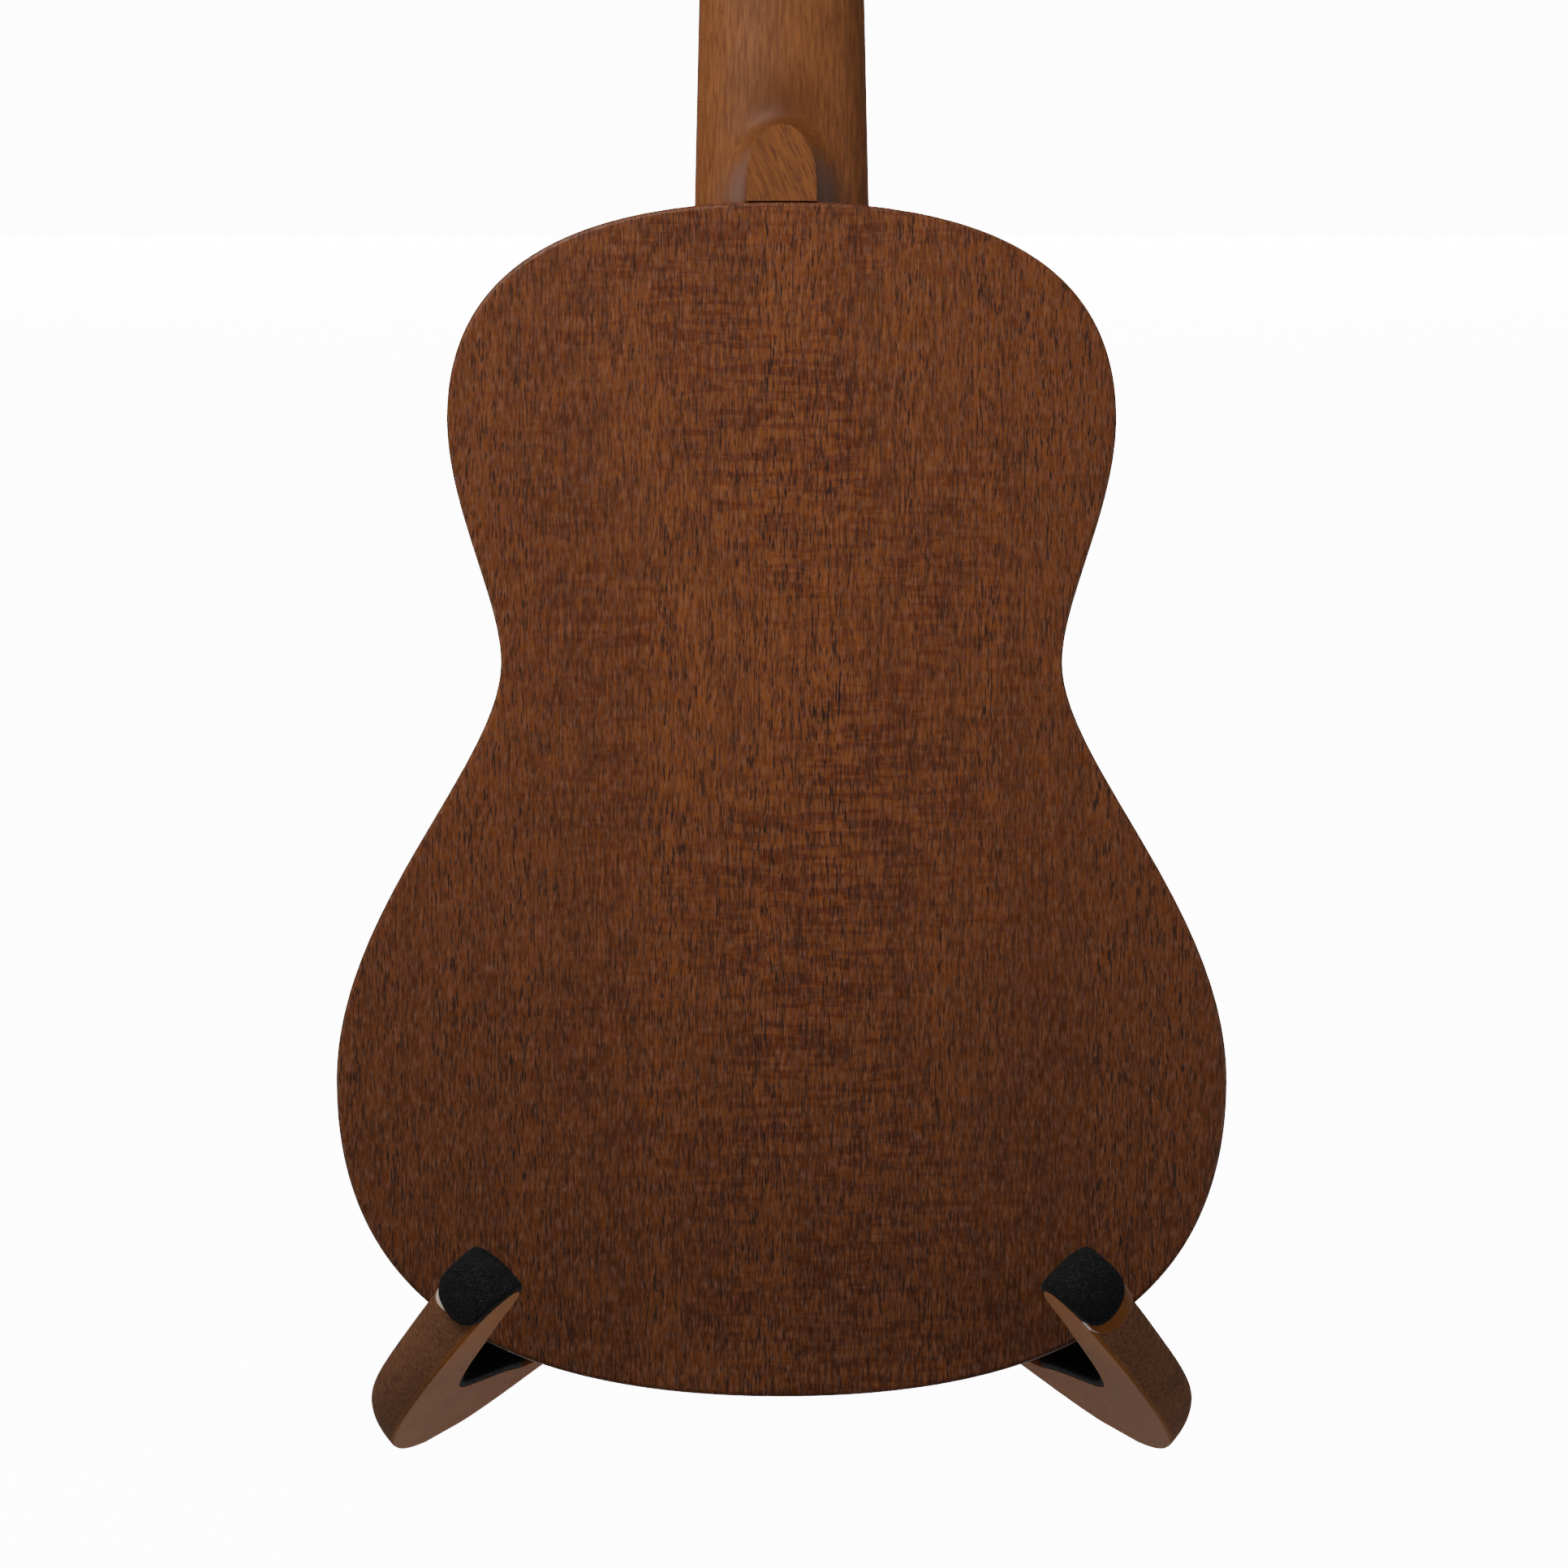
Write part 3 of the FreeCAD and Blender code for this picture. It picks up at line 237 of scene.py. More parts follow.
def timber(name, dark, light, pore, turn=(LEAN, 0, 0), fibre_scale=FIBRE, pore_scale=PORES,
           pore_share=0.572, bars=0.0, haze=0.0, rough=0.42, gloss=0.25, relief=0.3, middle=0.0,
           toe=1.0):
    """Wood with its grain up the turned z: fibres, bands, pores, cross bars and a grey haze.

    Away from its middle it turns darker by middle, and towards its foot by toe; both darkenings are
    painted shade.
    """
    material = bpy.data.materials.new(name)
    tree, shader = graph(material)
    place = add(tree, "ShaderNodeTexCoord").outputs["Object"]
    laid = add(tree, "ShaderNodeMapping", inputs={"Vector": place, "Rotation": turn}).outputs[0]
    axes = add(tree, "ShaderNodeSeparateXYZ", inputs={0: laid}).outputs
    central = fade(tree, sums(tree, "ABSOLUTE", axes["X"]), MIDDLE_FULL, MIDDLE_GONE, 1.0, 0.0)
    fibre = streaks(tree, laid, fibre_scale, 3, 0.6)
    band = streaks(tree, laid, BANDS, 4)
    grain = sums(tree, "MULTIPLY_ADD", fibre, FIBRE_SHARE,
                 sums(tree, "MULTIPLY", band, 1 - FIBRE_SHARE))
    tone = ramp(tree, grain, TONE_LOW, TONE_HIGH, dark, light)
    tone = blend(tree, sums(tree, "MULTIPLY", sums(tree, "SUBTRACT", 1.0, central), middle),
                 tone, dark)
    tone = blend(tree, 1.0, tone, fade(tree, axes["Z"], TOE_FULL, TOE_GONE, toe, 1.0), "MULTIPLY")
    bar = ramp(tree, streaks(tree, laid, BARS, 1.6, 0.5), 0.49, 0.555)
    where = sums(tree, "MULTIPLY", ramp(tree, streaks(tree, laid, PATCHES, 3), 0.33, 0.55),
                 sums(tree, "MULTIPLY_ADD", central, 1 - BARS_AT_EDGE, BARS_AT_EDGE))
    barred = blend(tree, 1.0, tone, BAR_TINT, "MULTIPLY")
    tone = blend(tree, sums(tree, "MULTIPLY", sums(tree, "MULTIPLY", bar, where), bars),
                 tone, barred)
    mist = ramp(tree, streaks(tree, laid, MIST, 3, 0.6), 0.44, 0.72)
    tone = blend(tree, sums(tree, "MULTIPLY", mist, haze), tone, MIST_COLOUR)
    holes = ramp(tree, streaks(tree, laid, pore_scale, 1.2), pore_share, pore_share + PORE_SOFT)
    crowd = ramp(tree, band, 0.34, 0.60, grey(0.35), grey(1))
    holes = sums(tree, "MULTIPLY", holes, crowd)
    tone = blend(tree, sums(tree, "MULTIPLY", holes, PORE_DEPTH), tone, pore)
    tree.links.new(tone, shader.inputs["Base Color"])
    sheen = add(tree, "ShaderNodeMapRange", inputs={"Value": holes, "To Min": rough,
                                                    "To Max": min(rough + PORE_DULL, 1)})
    tree.links.new(sheen.outputs["Result"], shader.inputs["Roughness"])
    height = sums(tree, "SUBTRACT", sums(tree, "MULTIPLY", fibre, 0.25), holes)
    bump = add(tree, "ShaderNodeBump", inputs={"Height": height, "Strength": relief,
                                               "Distance": RELIEF_HEIGHT})
    tree.links.new(bump.outputs[0], shader.inputs["Normal"])
    shader.inputs["Specular IOR Level"].default_value = gloss
    return material


def dress(material, *names):
    """Give CAD nodes a finish."""
    for name in names:
        mesh = nodes[name].data
        mesh.materials.clear()
        mesh.materials.append(material)


PORE = colour(0.012, 0.006, 0.005)
# painted shade: the back is darkened away from its middle and towards its foot
dress(timber("back_mahogany", colour(0.074, 0.0205, 0.0060), colour(0.178, 0.053, 0.0135), PORE,
             bars=1.0, haze=0.42, middle=0.34, gloss=0.17, toe=0.66), "body_back")

# Ribs.
# Two strips of the same mahogany, bent to the outline and glued to the linings. Their pattern
# runs up the body like the back's.
dress(timber("rib_mahogany", colour(0.060, 0.019, 0.007), colour(0.165, 0.056, 0.019), PORE,
             bars=0.5, haze=0.2), "side_bass", "side_treble")

# Soundboard.
# A mahogany top, a shade lighter than the back. A ring of polished shell between two dark lines
# is let in round the soundhole, and the fingerboard has dots of the same shell.
dress(timber("top_mahogany", colour(0.105, 0.034, 0.012), colour(0.26, 0.095, 0.032), PORE,
             bars=0.5, haze=0.2), "soundboard")


def measure(tree, kind, first, second):
    """A distance between two points, or a dot product of two directions."""
    return add(tree, "ShaderNodeVectorMath", operation=kind,
               inputs={0: first, 1: second}).outputs["Value"]


def tint(tree, shader, amount, tone):
    """Lays a colour over the shader's own."""
    worked = shader.inputs["Base Color"].links[0].from_socket
    tree.links.new(blend(tree, amount, worked, tone), shader.inputs["Base Color"])


def shell_inlay(name, tone):
    """Polished shell, mottled in small cells."""
    material = bpy.data.materials.new(name)
    tree, shader = graph(material)
    place = add(tree, "ShaderNodeTexCoord").outputs["Object"]
    cells = add(tree, "ShaderNodeTexVoronoi", inputs={"Vector": place, "Scale": SHELL_CELLS})
    mottle = blend(tree, MOTTLE, tone, cells.outputs["Color"], "SOFT_LIGHT")
    tree.links.new(mottle, shader.inputs["Base Color"])
    shader.inputs["Roughness"].default_value = 0.18
    shader.inputs["Coat Weight"].default_value = 0.6
    return material


SHELL_CELLS, MOTTLE = 420.0, 0.6
RING_WIDTH, LINE_WIDTH, LINE_SOFT = 0.006, 0.0009, 0.03
rosette_shell = shell_inlay("rosette_shell", colour(0.40, 0.31, 0.20))
rosette_tree, rosette_shader = graph(rosette_shell)
rosette_place = add(rosette_tree, "ShaderNodeTexCoord").outputs["Object"]
ring_low, ring_high = (Vector(corner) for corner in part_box("rosette"))
from_centre = measure(rosette_tree, "DISTANCE", rosette_place, (ring_low + ring_high) / 2)
mid_ring = (ring_high.x - ring_low.x) / 2 - RING_WIDTH / 2
off_mid_ring = sums(rosette_tree, "ABSOLUTE",
                    sums(rosette_tree, "SUBTRACT", from_centre, mid_ring))
line_start = 1 - 2 * LINE_WIDTH / RING_WIDTH
dark_line = ramp(rosette_tree, sums(rosette_tree, "MULTIPLY", off_mid_ring, 2 / RING_WIDTH),
                 line_start - LINE_SOFT, line_start)
tint(rosette_tree, rosette_shader, dark_line, colour(0.010, 0.008, 0.007))
dress(rosette_shell, "rosette")
dress(shell_inlay("dot_shell", colour(0.62, 0.58, 0.50)), "position_dots")

# Bracing, linings and blocks.
# Bare spruce, sawn and glued inside the box to stiffen its plates and join them to the ribs.
# Only the soundhole shows it.
dress(timber("bare_spruce", colour(0.42, 0.27, 0.13), colour(0.62, 0.44, 0.25),
             colour(0.30, 0.18, 0.09), pore_share=0.74, rough=0.7, gloss=0.1),
      "back_braces", "top_braces", "lining_back", "lining_front", "neck_block", "tail_block",
      "bridge_patch")

# Neck.
# Solid mahogany in a thin satin coat, lighter than the body, its heel carved into the shaft in
# one soft hollow and glued to the body, with a cap of the same wood on the heel's foot.
BODY_LENGTH = 0.298
neck_wood = timber("neck_mahogany", colour(0.118, 0.040, 0.0125), colour(0.205, 0.074, 0.0235),
                   colour(0.06, 0.022, 0.010), pore_share=0.66, haze=0.1, rough=0.52, gloss=0.16,
                   relief=0.12)


def both_sides(tree):
    """The place on the piece, with its left and right halves folded together."""
    place = add(tree, "ShaderNodeTexCoord").outputs["Object"]
    axes = add(tree, "ShaderNodeSeparateXYZ", inputs={0: place}).outputs
    return add(tree, "ShaderNodeCombineXYZ", inputs={0: sums(tree, "ABSOLUTE", axes["X"]),
                                                     1: axes["Y"], 2: axes["Z"]}).outputs[0]


# painted shade, with some pooled stain, darkens the hollow above the cap, and a painted grey sheen
# lies on the heel's two flanks
neck_tree, neck_shader = graph(neck_wood)
neck_place = both_sides(neck_tree)
for across, deep, above, radius, amount, tone in (
        (0.0, 0.045, 0.028, 0.018, 0.80, colour(0.080, 0.024, 0.006)),
        (0.0140, 0.038, 0.006, 0.017, 0.75, colour(0.190, 0.120, 0.098))):
    away = measure(neck_tree, "DISTANCE", neck_place,
                   on_instrument(across, deep, BODY_LENGTH + above))
    tint(neck_tree, neck_shader, fade(neck_tree, away, 0.0, radius, amount, 0.0), tone)

# the carving grows and fades between these depths, and these heights above the body
CARVED_DEEP = (0.010, 0.022, 0.046, 0.053)
CARVED_HIGH = (0.0012, 0.006, 0.045, 0.070)


def new_piece(name, mesh, material, body):
    """A finished piece of one material that moves with a body."""
    piece = linked(name, mesh)
    mesh.materials.append(material)
    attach(piece, body)
    return piece


def finished(piece):
    """The piece's mesh with its modifiers applied; the piece itself is removed."""
    mesh = bpy.data.meshes.new_from_object(
        piece.evaluated_get(bpy.context.evaluated_depsgraph_get()))
    bpy.data.objects.remove(piece)
    return mesh


def softened(mesh):
    """The mesh shaded smooth, with no material yet."""
    mesh.materials.clear()
    for face in mesh.polygons:
        face.use_smooth = True
    return mesh


def between(value, low, high):
    """A smooth step from 0 at low to 1 at high."""
    share = min(1.0, max(0.0, (value - low) / (high - low)))
    return share * share * (3 - 2 * share)


def carved_here(value, start, full, last, end):
    """1 from full to last, and 0 before start and after end."""
    return between(value, start, full) * (1 - between(value, last, end))


def faired_neck(voxel=0.00095, rounds=110):
    """The neck with its heel carved into the shaft in one soft hollow, its other edges kept."""
    shell = bmesh.new()
    shell.from_mesh(nodes["neck"].data)
    bmesh.ops.remove_doubles(shell, verts=shell.verts, dist=1e-6)
    merged = bpy.data.meshes.new("neck_merged")
    shell.to_mesh(merged)
    merged.transform(nodes["neck"].matrix_world)
    even = linked("work", merged)
    grid = even.modifiers.new("grid", "REMESH")
    grid.mode, grid.voxel_size = "VOXEL", voxel
    carved = linked("work", finished(even))
    group = carved.vertex_groups.new(name="heel")
    to_body = leaning.inverted()
    for vertex in carved.data.vertices:
        _, deep, high = to_body @ vertex.co
        soft = carved_here(deep, *CARVED_DEEP) * carved_here(high - BODY_LENGTH, *CARVED_HIGH)
        if soft > 0:
            group.add([vertex.index], soft, "REPLACE")
    smooth = carved.modifiers.new("smooth", "SMOOTH")
    smooth.vertex_group, smooth.iterations, smooth.factor = "heel", rounds, 0.5
    return softened(finished(carved))


neck = new_piece("neck_faired", faired_neck(), neck_wood, "instrument")
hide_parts("neck")
CAP_GRAIN_TURN = math.radians(24)
dress(timber("cap_mahogany", colour(0.115, 0.037, 0.0105), colour(0.195, 0.066, 0.0175),
             colour(0.06, 0.022, 0.010), turn=(LEAN, CAP_GRAIN_TURN, 0), pore_share=0.61,
             relief=0.15), "heel_cap")

# Fingerboard, bridge and the face of the head.
# Dark rosewood with close lines, planed, oiled and glued on: the board on the neck, the bridge
# on the soundboard, and a thin veneer on the head.
dress(timber("rosewood", colour(0.018, 0.009, 0.006), colour(0.075, 0.036, 0.022),
             colour(0.008, 0.004, 0.003), rough=0.36), "fingerboard", "bridge", "head_veneer")


# Frets, nut, saddle and strings.
# The frets are nickel silver wire pressed into saw cuts, the nut and the saddle bone set in
# slots, and the four strings clear nylon, stretched from the bridge to their posts.
CLOUDS, CLOUD_SHADE = (160, 160, 160), 0.82


def polished(name, hue, rough, metal=0.0, scratch=0.06):
    """A smooth finish with faint uneven polish."""
    material = bpy.data.materials.new(name)
    tree, shader = graph(material)
    place = add(tree, "ShaderNodeTexCoord").outputs["Object"]
    cloud = streaks(tree, place, CLOUDS, 4)
    shaded = colour(*[CLOUD_SHADE * part for part in hue])
    tree.links.new(ramp(tree, cloud, 0.3, 0.7, shaded, colour(*hue)), shader.inputs["Base Color"])
    wear = ramp(tree, cloud, 0.3, 0.75, grey(rough), grey(rough + scratch))
    tree.links.new(wear, shader.inputs["Roughness"])
    shader.inputs["Metallic"].default_value = metal
    return material


dress(polished("fret_nickel", (0.72, 0.70, 0.65), 0.2, 1.0), "frets")
dress(polished("bone", (0.78, 0.74, 0.62), 0.35), "nut", "saddle")
nylon = polished("nylon", (0.80, 0.79, 0.74), 0.12)
dress(nylon, "string_a", "string_e", "string_c", "string_g")

# String ties.
# At the bridge each nylon string comes back over the tie block as a loop, and is twisted round
# itself on the face of the block.
STRINGS, STRING_PITCH, WIRE = 4, 0.0142, 0.00042
BLOCK_SHARE, BLOCK_MARGIN, HOLE_RISE = 0.38, 0.00055, 0.68
LOOP_BEND, TWIST_REACH, TWIST_TURNS, TWIST_LENGTH = 1.6, 1.9, 3.0, 0.0036
WIRE_SIDES, BEND_STEPS, TURN_STEPS = 10, 5, 14
bridge_spots = [leaning.inverted() @ (nodes["bridge"].matrix_world @ v.co)
                for v in nodes["bridge"].data.vertices]
bridge_foot, bridge_face = min(s.y for s in bridge_spots), max(s.y for s in bridge_spots)
bridge_low, bridge_high = min(s.z for s in bridge_spots), max(s.z for s in bridge_spots)
block = BLOCK_SHARE * (bridge_high - bridge_low)
hole = bridge_foot + HOLE_RISE * (bridge_face - bridge_foot)
loop_top = bridge_face + BLOCK_MARGIN

ties = bpy.data.node_groups.new("string_ties", "GeometryNodeTree")
tie_inputs = (("Pitch", "NodeSocketFloat", STRING_PITCH), ("Wire", "NodeSocketFloat", WIRE),
              ("Loop length", "NodeSocketFloat", block + 2 * BLOCK_MARGIN),
              ("Loop height", "NodeSocketFloat", loop_top - hole),
              ("Twist turns", "NodeSocketFloat", TWIST_TURNS),
              ("Twist length", "NodeSocketFloat", TWIST_LENGTH),
              ("Finish", "NodeSocketMaterial", nylon))
identifiers = [ties.interface.new_socket(label, in_out="INPUT", socket_type=kind).identifier
               for label, kind, _ in tie_inputs]
ties.interface.new_socket("Geometry", in_out="OUTPUT", socket_type="NodeSocketGeometry")
asked = ties.nodes.new("NodeGroupInput").outputs
wire_round = add(ties, "GeometryNodeCurvePrimitiveCircle",
                 inputs={"Resolution": WIRE_SIDES, "Radius": asked["Wire"]}).outputs["Curve"]
loop_line = add(ties, "GeometryNodeCurvePrimitiveQuadrilateral",
                inputs={"Width": asked["Loop length"], "Height": asked["Loop height"]}).outputs[0]
loop_line = add(ties, "GeometryNodeFilletCurve", mode="POLY",
                inputs={"Curve": loop_line, "Count": BEND_STEPS,
                        "Radius": sums(ties, "MULTIPLY", asked["Wire"], LOOP_BEND)}).outputs[0]
loop_wire = add(ties, "GeometryNodeCurveToMesh",
                inputs={"Curve": loop_line, "Profile Curve": wire_round}).outputs[0]
loop_wire = add(ties, "GeometryNodeTransform",
                inputs={"Geometry": loop_wire, "Rotation": (0, -math.pi / 2, 0)}).outputs[0]
twist_round = sums(ties, "MULTIPLY", asked["Wire"], TWIST_REACH)
twist_line = add(ties, "GeometryNodeCurveSpiral",
                 inputs={"Resolution": TURN_STEPS, "Rotations": asked["Twist turns"],
                         "Start Radius": twist_round, "End Radius": twist_round,
                         "Height": asked["Twist length"]}).outputs[0]
twist_wire = add(ties, "GeometryNodeCurveToMesh",
                 inputs={"Curve": twist_line, "Profile Curve": wire_round,
                         "Fill Caps": True}).outputs[0]
on_loop = add(ties, "ShaderNodeCombineXYZ",
              inputs={"Y": sums(ties, "MULTIPLY", asked["Loop height"], 0.5),
                      "Z": sums(ties, "MULTIPLY", asked["Twist length"], -0.5)}).outputs[0]
twist_wire = add(ties, "GeometryNodeTransform",
                 inputs={"Geometry": twist_wire, "Translation": on_loop}).outputs[0]
tie = ties.nodes.new("GeometryNodeJoinGeometry")
for wire in (loop_wire, twist_wire):
    ties.links.new(wire, tie.inputs[0])
row_step = add(ties, "ShaderNodeCombineXYZ", inputs={"X": asked["Pitch"]}).outputs[0]
row = add(ties, "GeometryNodeMeshLine", inputs={"Count": STRINGS, "Offset": row_step}).outputs[0]
placed = add(ties, "GeometryNodeInstanceOnPoints",
             inputs={"Points": row, "Instance": tie.outputs[0]}).outputs[0]
solid = add(ties, "GeometryNodeRealizeInstances", inputs={"Geometry": placed}).outputs[0]
coated = add(ties, "GeometryNodeSetMaterial",
             inputs={"Geometry": solid, "Material": asked["Finish"]}).outputs[0]
ties.links.new(coated, ties.nodes.new("NodeGroupOutput").inputs[0])

tie_work = linked("work", bpy.data.meshes.new("ties"))
tying = tie_work.modifiers.new("ties", "NODES")
tying.node_group = ties
for identifier, (_, _, setting) in zip(identifiers, tie_inputs):
    tying[identifier] = setting
tie_mesh = softened(finished(tie_work))
tie_mesh.transform(leaning @ Matrix.Translation((-(STRINGS - 1) / 2 * STRING_PITCH,
                                                 (hole + loop_top) / 2, bridge_low + block / 2)))
new_piece("string_ties", tie_mesh, nylon, "instrument")

# Tuning machines.
# Pressed steel plates screwed to the head, with posts, wheels and worms, all bright plated.
# Each worm's shaft ends in a moulded black button.
tuner_names = [n for n in nodes if n.split("_")[0] in ("post", "gear", "worm")]
dress(polished("tuner_plating", (0.74, 0.74, 0.76), 0.16, 1.0), "tuner_plates", "tuner_bushings",
      "tuner_screws", *tuner_names)
dress(polished("button_black", (0.012, 0.012, 0.013), 0.16),
      *[n for n in nodes if n.startswith("button")])

# Stand boards.
# Two alike boards of beech stained brown, cut to one outline and crossed in a half lap. The
# outer rim is rounded over and the inner face left flat.
SPAN, LEVELS = 6, 26
BOARD = 0.0145
ROUND_IN, ROUND_UP = 0.0068, 0.0118
SLANT, RISE = math.radians(50), math.radians(15)
SPINE_HEIGHT = 0.0752285
# millimetres from the spine: rearwards, and up the board
OUTLINE = [(-18, -83.5), (-7, -89.5), (4, -95), (14, -100), (24, -104), (34, -105.5),
           (43, -102.5), (53, -97.5), (66, -91.4), (79, -86), (88, -77), (94.5, -57), (98, -30),
           (98, 0), (92, 28), (78, 52), (65, 68), (56, 84), (53, 104), (57, 115), (66, 117),
           (74, 106), (84, 82), (100, 54), (116, 30), (132, 8), (152, -6), (170, -13),
           (178.5, -21), (174, -29.5), (162, -32), (138, -35), (118, -46), (105, -62), (96, -82),
           (88, -101), (79, -113), (66, -122), (50, -127), (34, -127.5), (18, -123.5),
           (4, -116.5), (-9, -108), (-20, -99), (-26.5, -91), (-25.5, -84)]


def smooth_loop(points):
    """A closed smooth curve through the points, by cubic spans on chord lengths."""
    spots = numpy.array(points, float) / 1000
    count = len(spots)
    step = numpy.linalg.norm(numpy.roll(spots, -1, 0) - spots, axis=1)
    matrix, target = numpy.zeros((count, count)), numpy.zeros((count, 2))
    for k in range(count):
        before, after, following = step[k - 1], step[k], (k + 1) % count
        matrix[k, k - 1] = after
        matrix[k, k] = 2 * (before + after)
        matrix[k, following] = before
        target[k] = 3 * (after * (spots[k] - spots[k - 1]) / before
                         + before * (spots[following] - spots[k]) / after)
    slope = numpy.linalg.solve(matrix, target)
    line = []
    for k in range(count):
        following, chord = (k + 1) % count, step[k]
        for t in (j / SPAN for j in range(SPAN)):
            line.append((2 * t**3 - 3 * t**2 + 1) * spots[k]
                        + (t**3 - 2 * t**2 + t) * chord * slope[k]
                        + (3 * t**2 - 2 * t**3) * spots[following]
                        + (t**3 - t**2) * chord * slope[following])
    return numpy.array(line)


def outward(line):
    """Unit normals of a closed curve, pointing off the board."""
    along = numpy.roll(line, -1, 0) - numpy.roll(line, 1, 0)
    along /= numpy.linalg.norm(along, axis=1)[:, None]
    area = sum(line[k - 1][0] * line[k][1] - line[k][0] * line[k - 1][1] for k in range(len(line)))
    turn = 1 if area > 0 else -1
    return numpy.stack([along[:, 1], -along[:, 0]], 1) * turn


def board_place(side):
    """World place of a board's inner face: rearwards, up the board, and out of its outer face."""
    rear = Vector((0, math.cos(RISE), -math.sin(RISE)))
    up = Vector((-side * math.sin(SLANT), math.cos(SLANT) * math.sin(RISE),
                 math.cos(SLANT) * math.cos(RISE)))
    out = rear.cross(up) * side
    base = Matrix(((rear.x, up.x, out.x, 0), (rear.y, up.y, out.y, 0),
                   (rear.z, up.z, out.z, SPINE_HEIGHT), (0, 0, 0, 1)))
    return leaning @ base


board_line = smooth_loop(OUTLINE)
board_normals = outward(board_line)


def tightness(line, normals, spread=9, fill=0.7, least_room=0.2):
    """How much of the full rounding each point of the outline has room for, evened out."""
    ahead = numpy.roll(line, -1, 0) - line
    turned = numpy.roll(normals, -1, 0) - normals
    bend = (turned * ahead).sum(1) / numpy.linalg.norm(ahead, axis=1)**2
    room = numpy.clip(fill / (numpy.maximum(bend, 1) * ROUND_IN), least_room, 1)
    least = numpy.min([numpy.roll(room, k) for k in range(-spread, spread + 1)], axis=0)
    return numpy.mean([numpy.roll(least, k) for k in range(-spread, spread + 1)], axis=0)


board_room = tightness(board_line, board_normals)


def edge_profile(share, crisp=0.0005):
    """Inset, height and outward lean of the board's edge, from the inner face to the outer face."""
    flat_part, radius = BOARD - ROUND_UP, (ROUND_IN + ROUND_UP) / 2
    along = share * (flat_part + math.pi / 2 * radius)
    if along < flat_part:
        return max(0.0, crisp - along) * 0.6, along, 0.0
    turned = (along - flat_part) / radius
    angle = min(math.pi / 2, turned)
    past = (turned - angle) * radius
    lean = math.atan2(ROUND_IN * math.sin(angle), ROUND_UP * math.cos(angle))
    return ROUND_IN * (1 - math.cos(angle)) + past, flat_part + ROUND_UP * math.sin(angle), lean


def board_piece(side, body, node):
    """One board: its edge lofted round the outline, closed, then notched and levelled."""
    place, shell, rings = board_place(side), bmesh.new(), []
    for k in range(LEVELS + 1):
        inset, height, _ = edge_profile(k / LEVELS)
        rings.append([shell.verts.new(place @ Vector((*(p - n * inset * room), height)))
                      for p, n, room in zip(board_line, board_normals, board_room)])
    count = len(board_line)
    for low, high in zip(rings, rings[1:]):
        for k in range(count):
            shell.faces.new((low[k], low[(k + 1) % count], high[(k + 1) % count], high[k]))
    for ring in (rings[0], rings[-1]):
        shell.faces.new(ring)
    bmesh.ops.recalc_face_normals(shell, faces=shell.faces)
    mesh = bpy.data.meshes.new("blank")
    shell.to_mesh(mesh)
    piece = linked("blank", mesh)
    below_floor = (-1, -1, -0.2), (1, 1, 0.0)
    cutters = [box_piece(place, *notch_box(side)), box_piece(Matrix(), *below_floor)]
    for cutter in cutters:
        step = piece.modifiers.new("cut", "BOOLEAN")
        step.operation, step.solver, step.object = "DIFFERENCE", "EXACT", cutter
    shaped = finished(piece)
    for cutter in cutters:
        bpy.data.objects.remove(cutter)
    return new_piece(node + "_wood", shaped, stand_wood, body)


def notch_box(side, gap=0.0003, lap=0.113, far=0.09):
    """The half of the lap that is cut away from a board, for the other board to pass."""
    low = BOARD / math.tan(2 * SLANT) - gap
    high = BOARD / math.sin(2 * SLANT) + gap
    ends = (lap - gap / 2, lap + far) if side > 0 else (lap - far, lap + gap / 2)
    return (ends[0], low, -0.01), (ends[1], high, BOARD + 0.01)


def box_piece(place, low, high):
    """A block between two corners, to cut with."""
    shell = bmesh.new()
    made = bmesh.ops.create_cube(shell, size=1.0)
    for vertex in made["verts"]:
        share = vertex.co + Vector((0.5, 0.5, 0.5))
        vertex.co = place @ Vector([a + (b - a) * s for a, b, s in zip(low, high, share)])
    bmesh.ops.recalc_face_normals(shell, faces=shell.faces)
    mesh = bpy.data.meshes.new("cutter")
    shell.to_mesh(mesh)
    return linked("cutter", mesh)


BOARD_GRAIN_TURN = math.radians(61)
stand_wood = timber("stand_beech", colour(0.078, 0.034, 0.0175), colour(0.148, 0.067, 0.034),
                    colour(0.045, 0.020, 0.011), turn=(BOARD_GRAIN_TURN, 0, 0), pore_share=0.66,
                    fibre_scale=(1300, 1300, 60), pore_scale=(2400, 2400, 240), rough=0.62,
                    gloss=0.05, haze=0.16, relief=0.10)
# painted bounce light from the floor tints the inner face amber, most at the tip of each crook
AMBER, AMBER_AT_TIP, AMBER_AWAY = colour(0.25, 0.090, 0.020), 0.85, 0.45
NEAR_TIP, NEAR_FACE = (0.004, 0.040), (0.0003, 0.0014)
stand_tree, stand_shader = graph(stand_wood)
inner_face = board_place(1)
tip = inner_face @ Vector((-0.020, -0.086, 0.004))
face_out = inner_face.col[2].to_3d()
either_side = both_sides(stand_tree)
above_face = sums(stand_tree, "SUBTRACT", measure(stand_tree, "DOT_PRODUCT", either_side, face_out),
                  inner_face.translation.dot(face_out))
amber = sums(stand_tree, "MULTIPLY",
             fade(stand_tree, measure(stand_tree, "DISTANCE", either_side, tip), *NEAR_TIP,
                  AMBER_AT_TIP, AMBER_AWAY),
             fade(stand_tree, above_face, *NEAR_FACE, 1.0, 0.0))
tint(stand_tree, stand_shader, amber, AMBER)
for side, hand in ((1, "right"), (-1, "left")):
    board = board_piece(side, f"stand_{hand}", f"board_{hand}")
    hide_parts(f"board_{hand}")

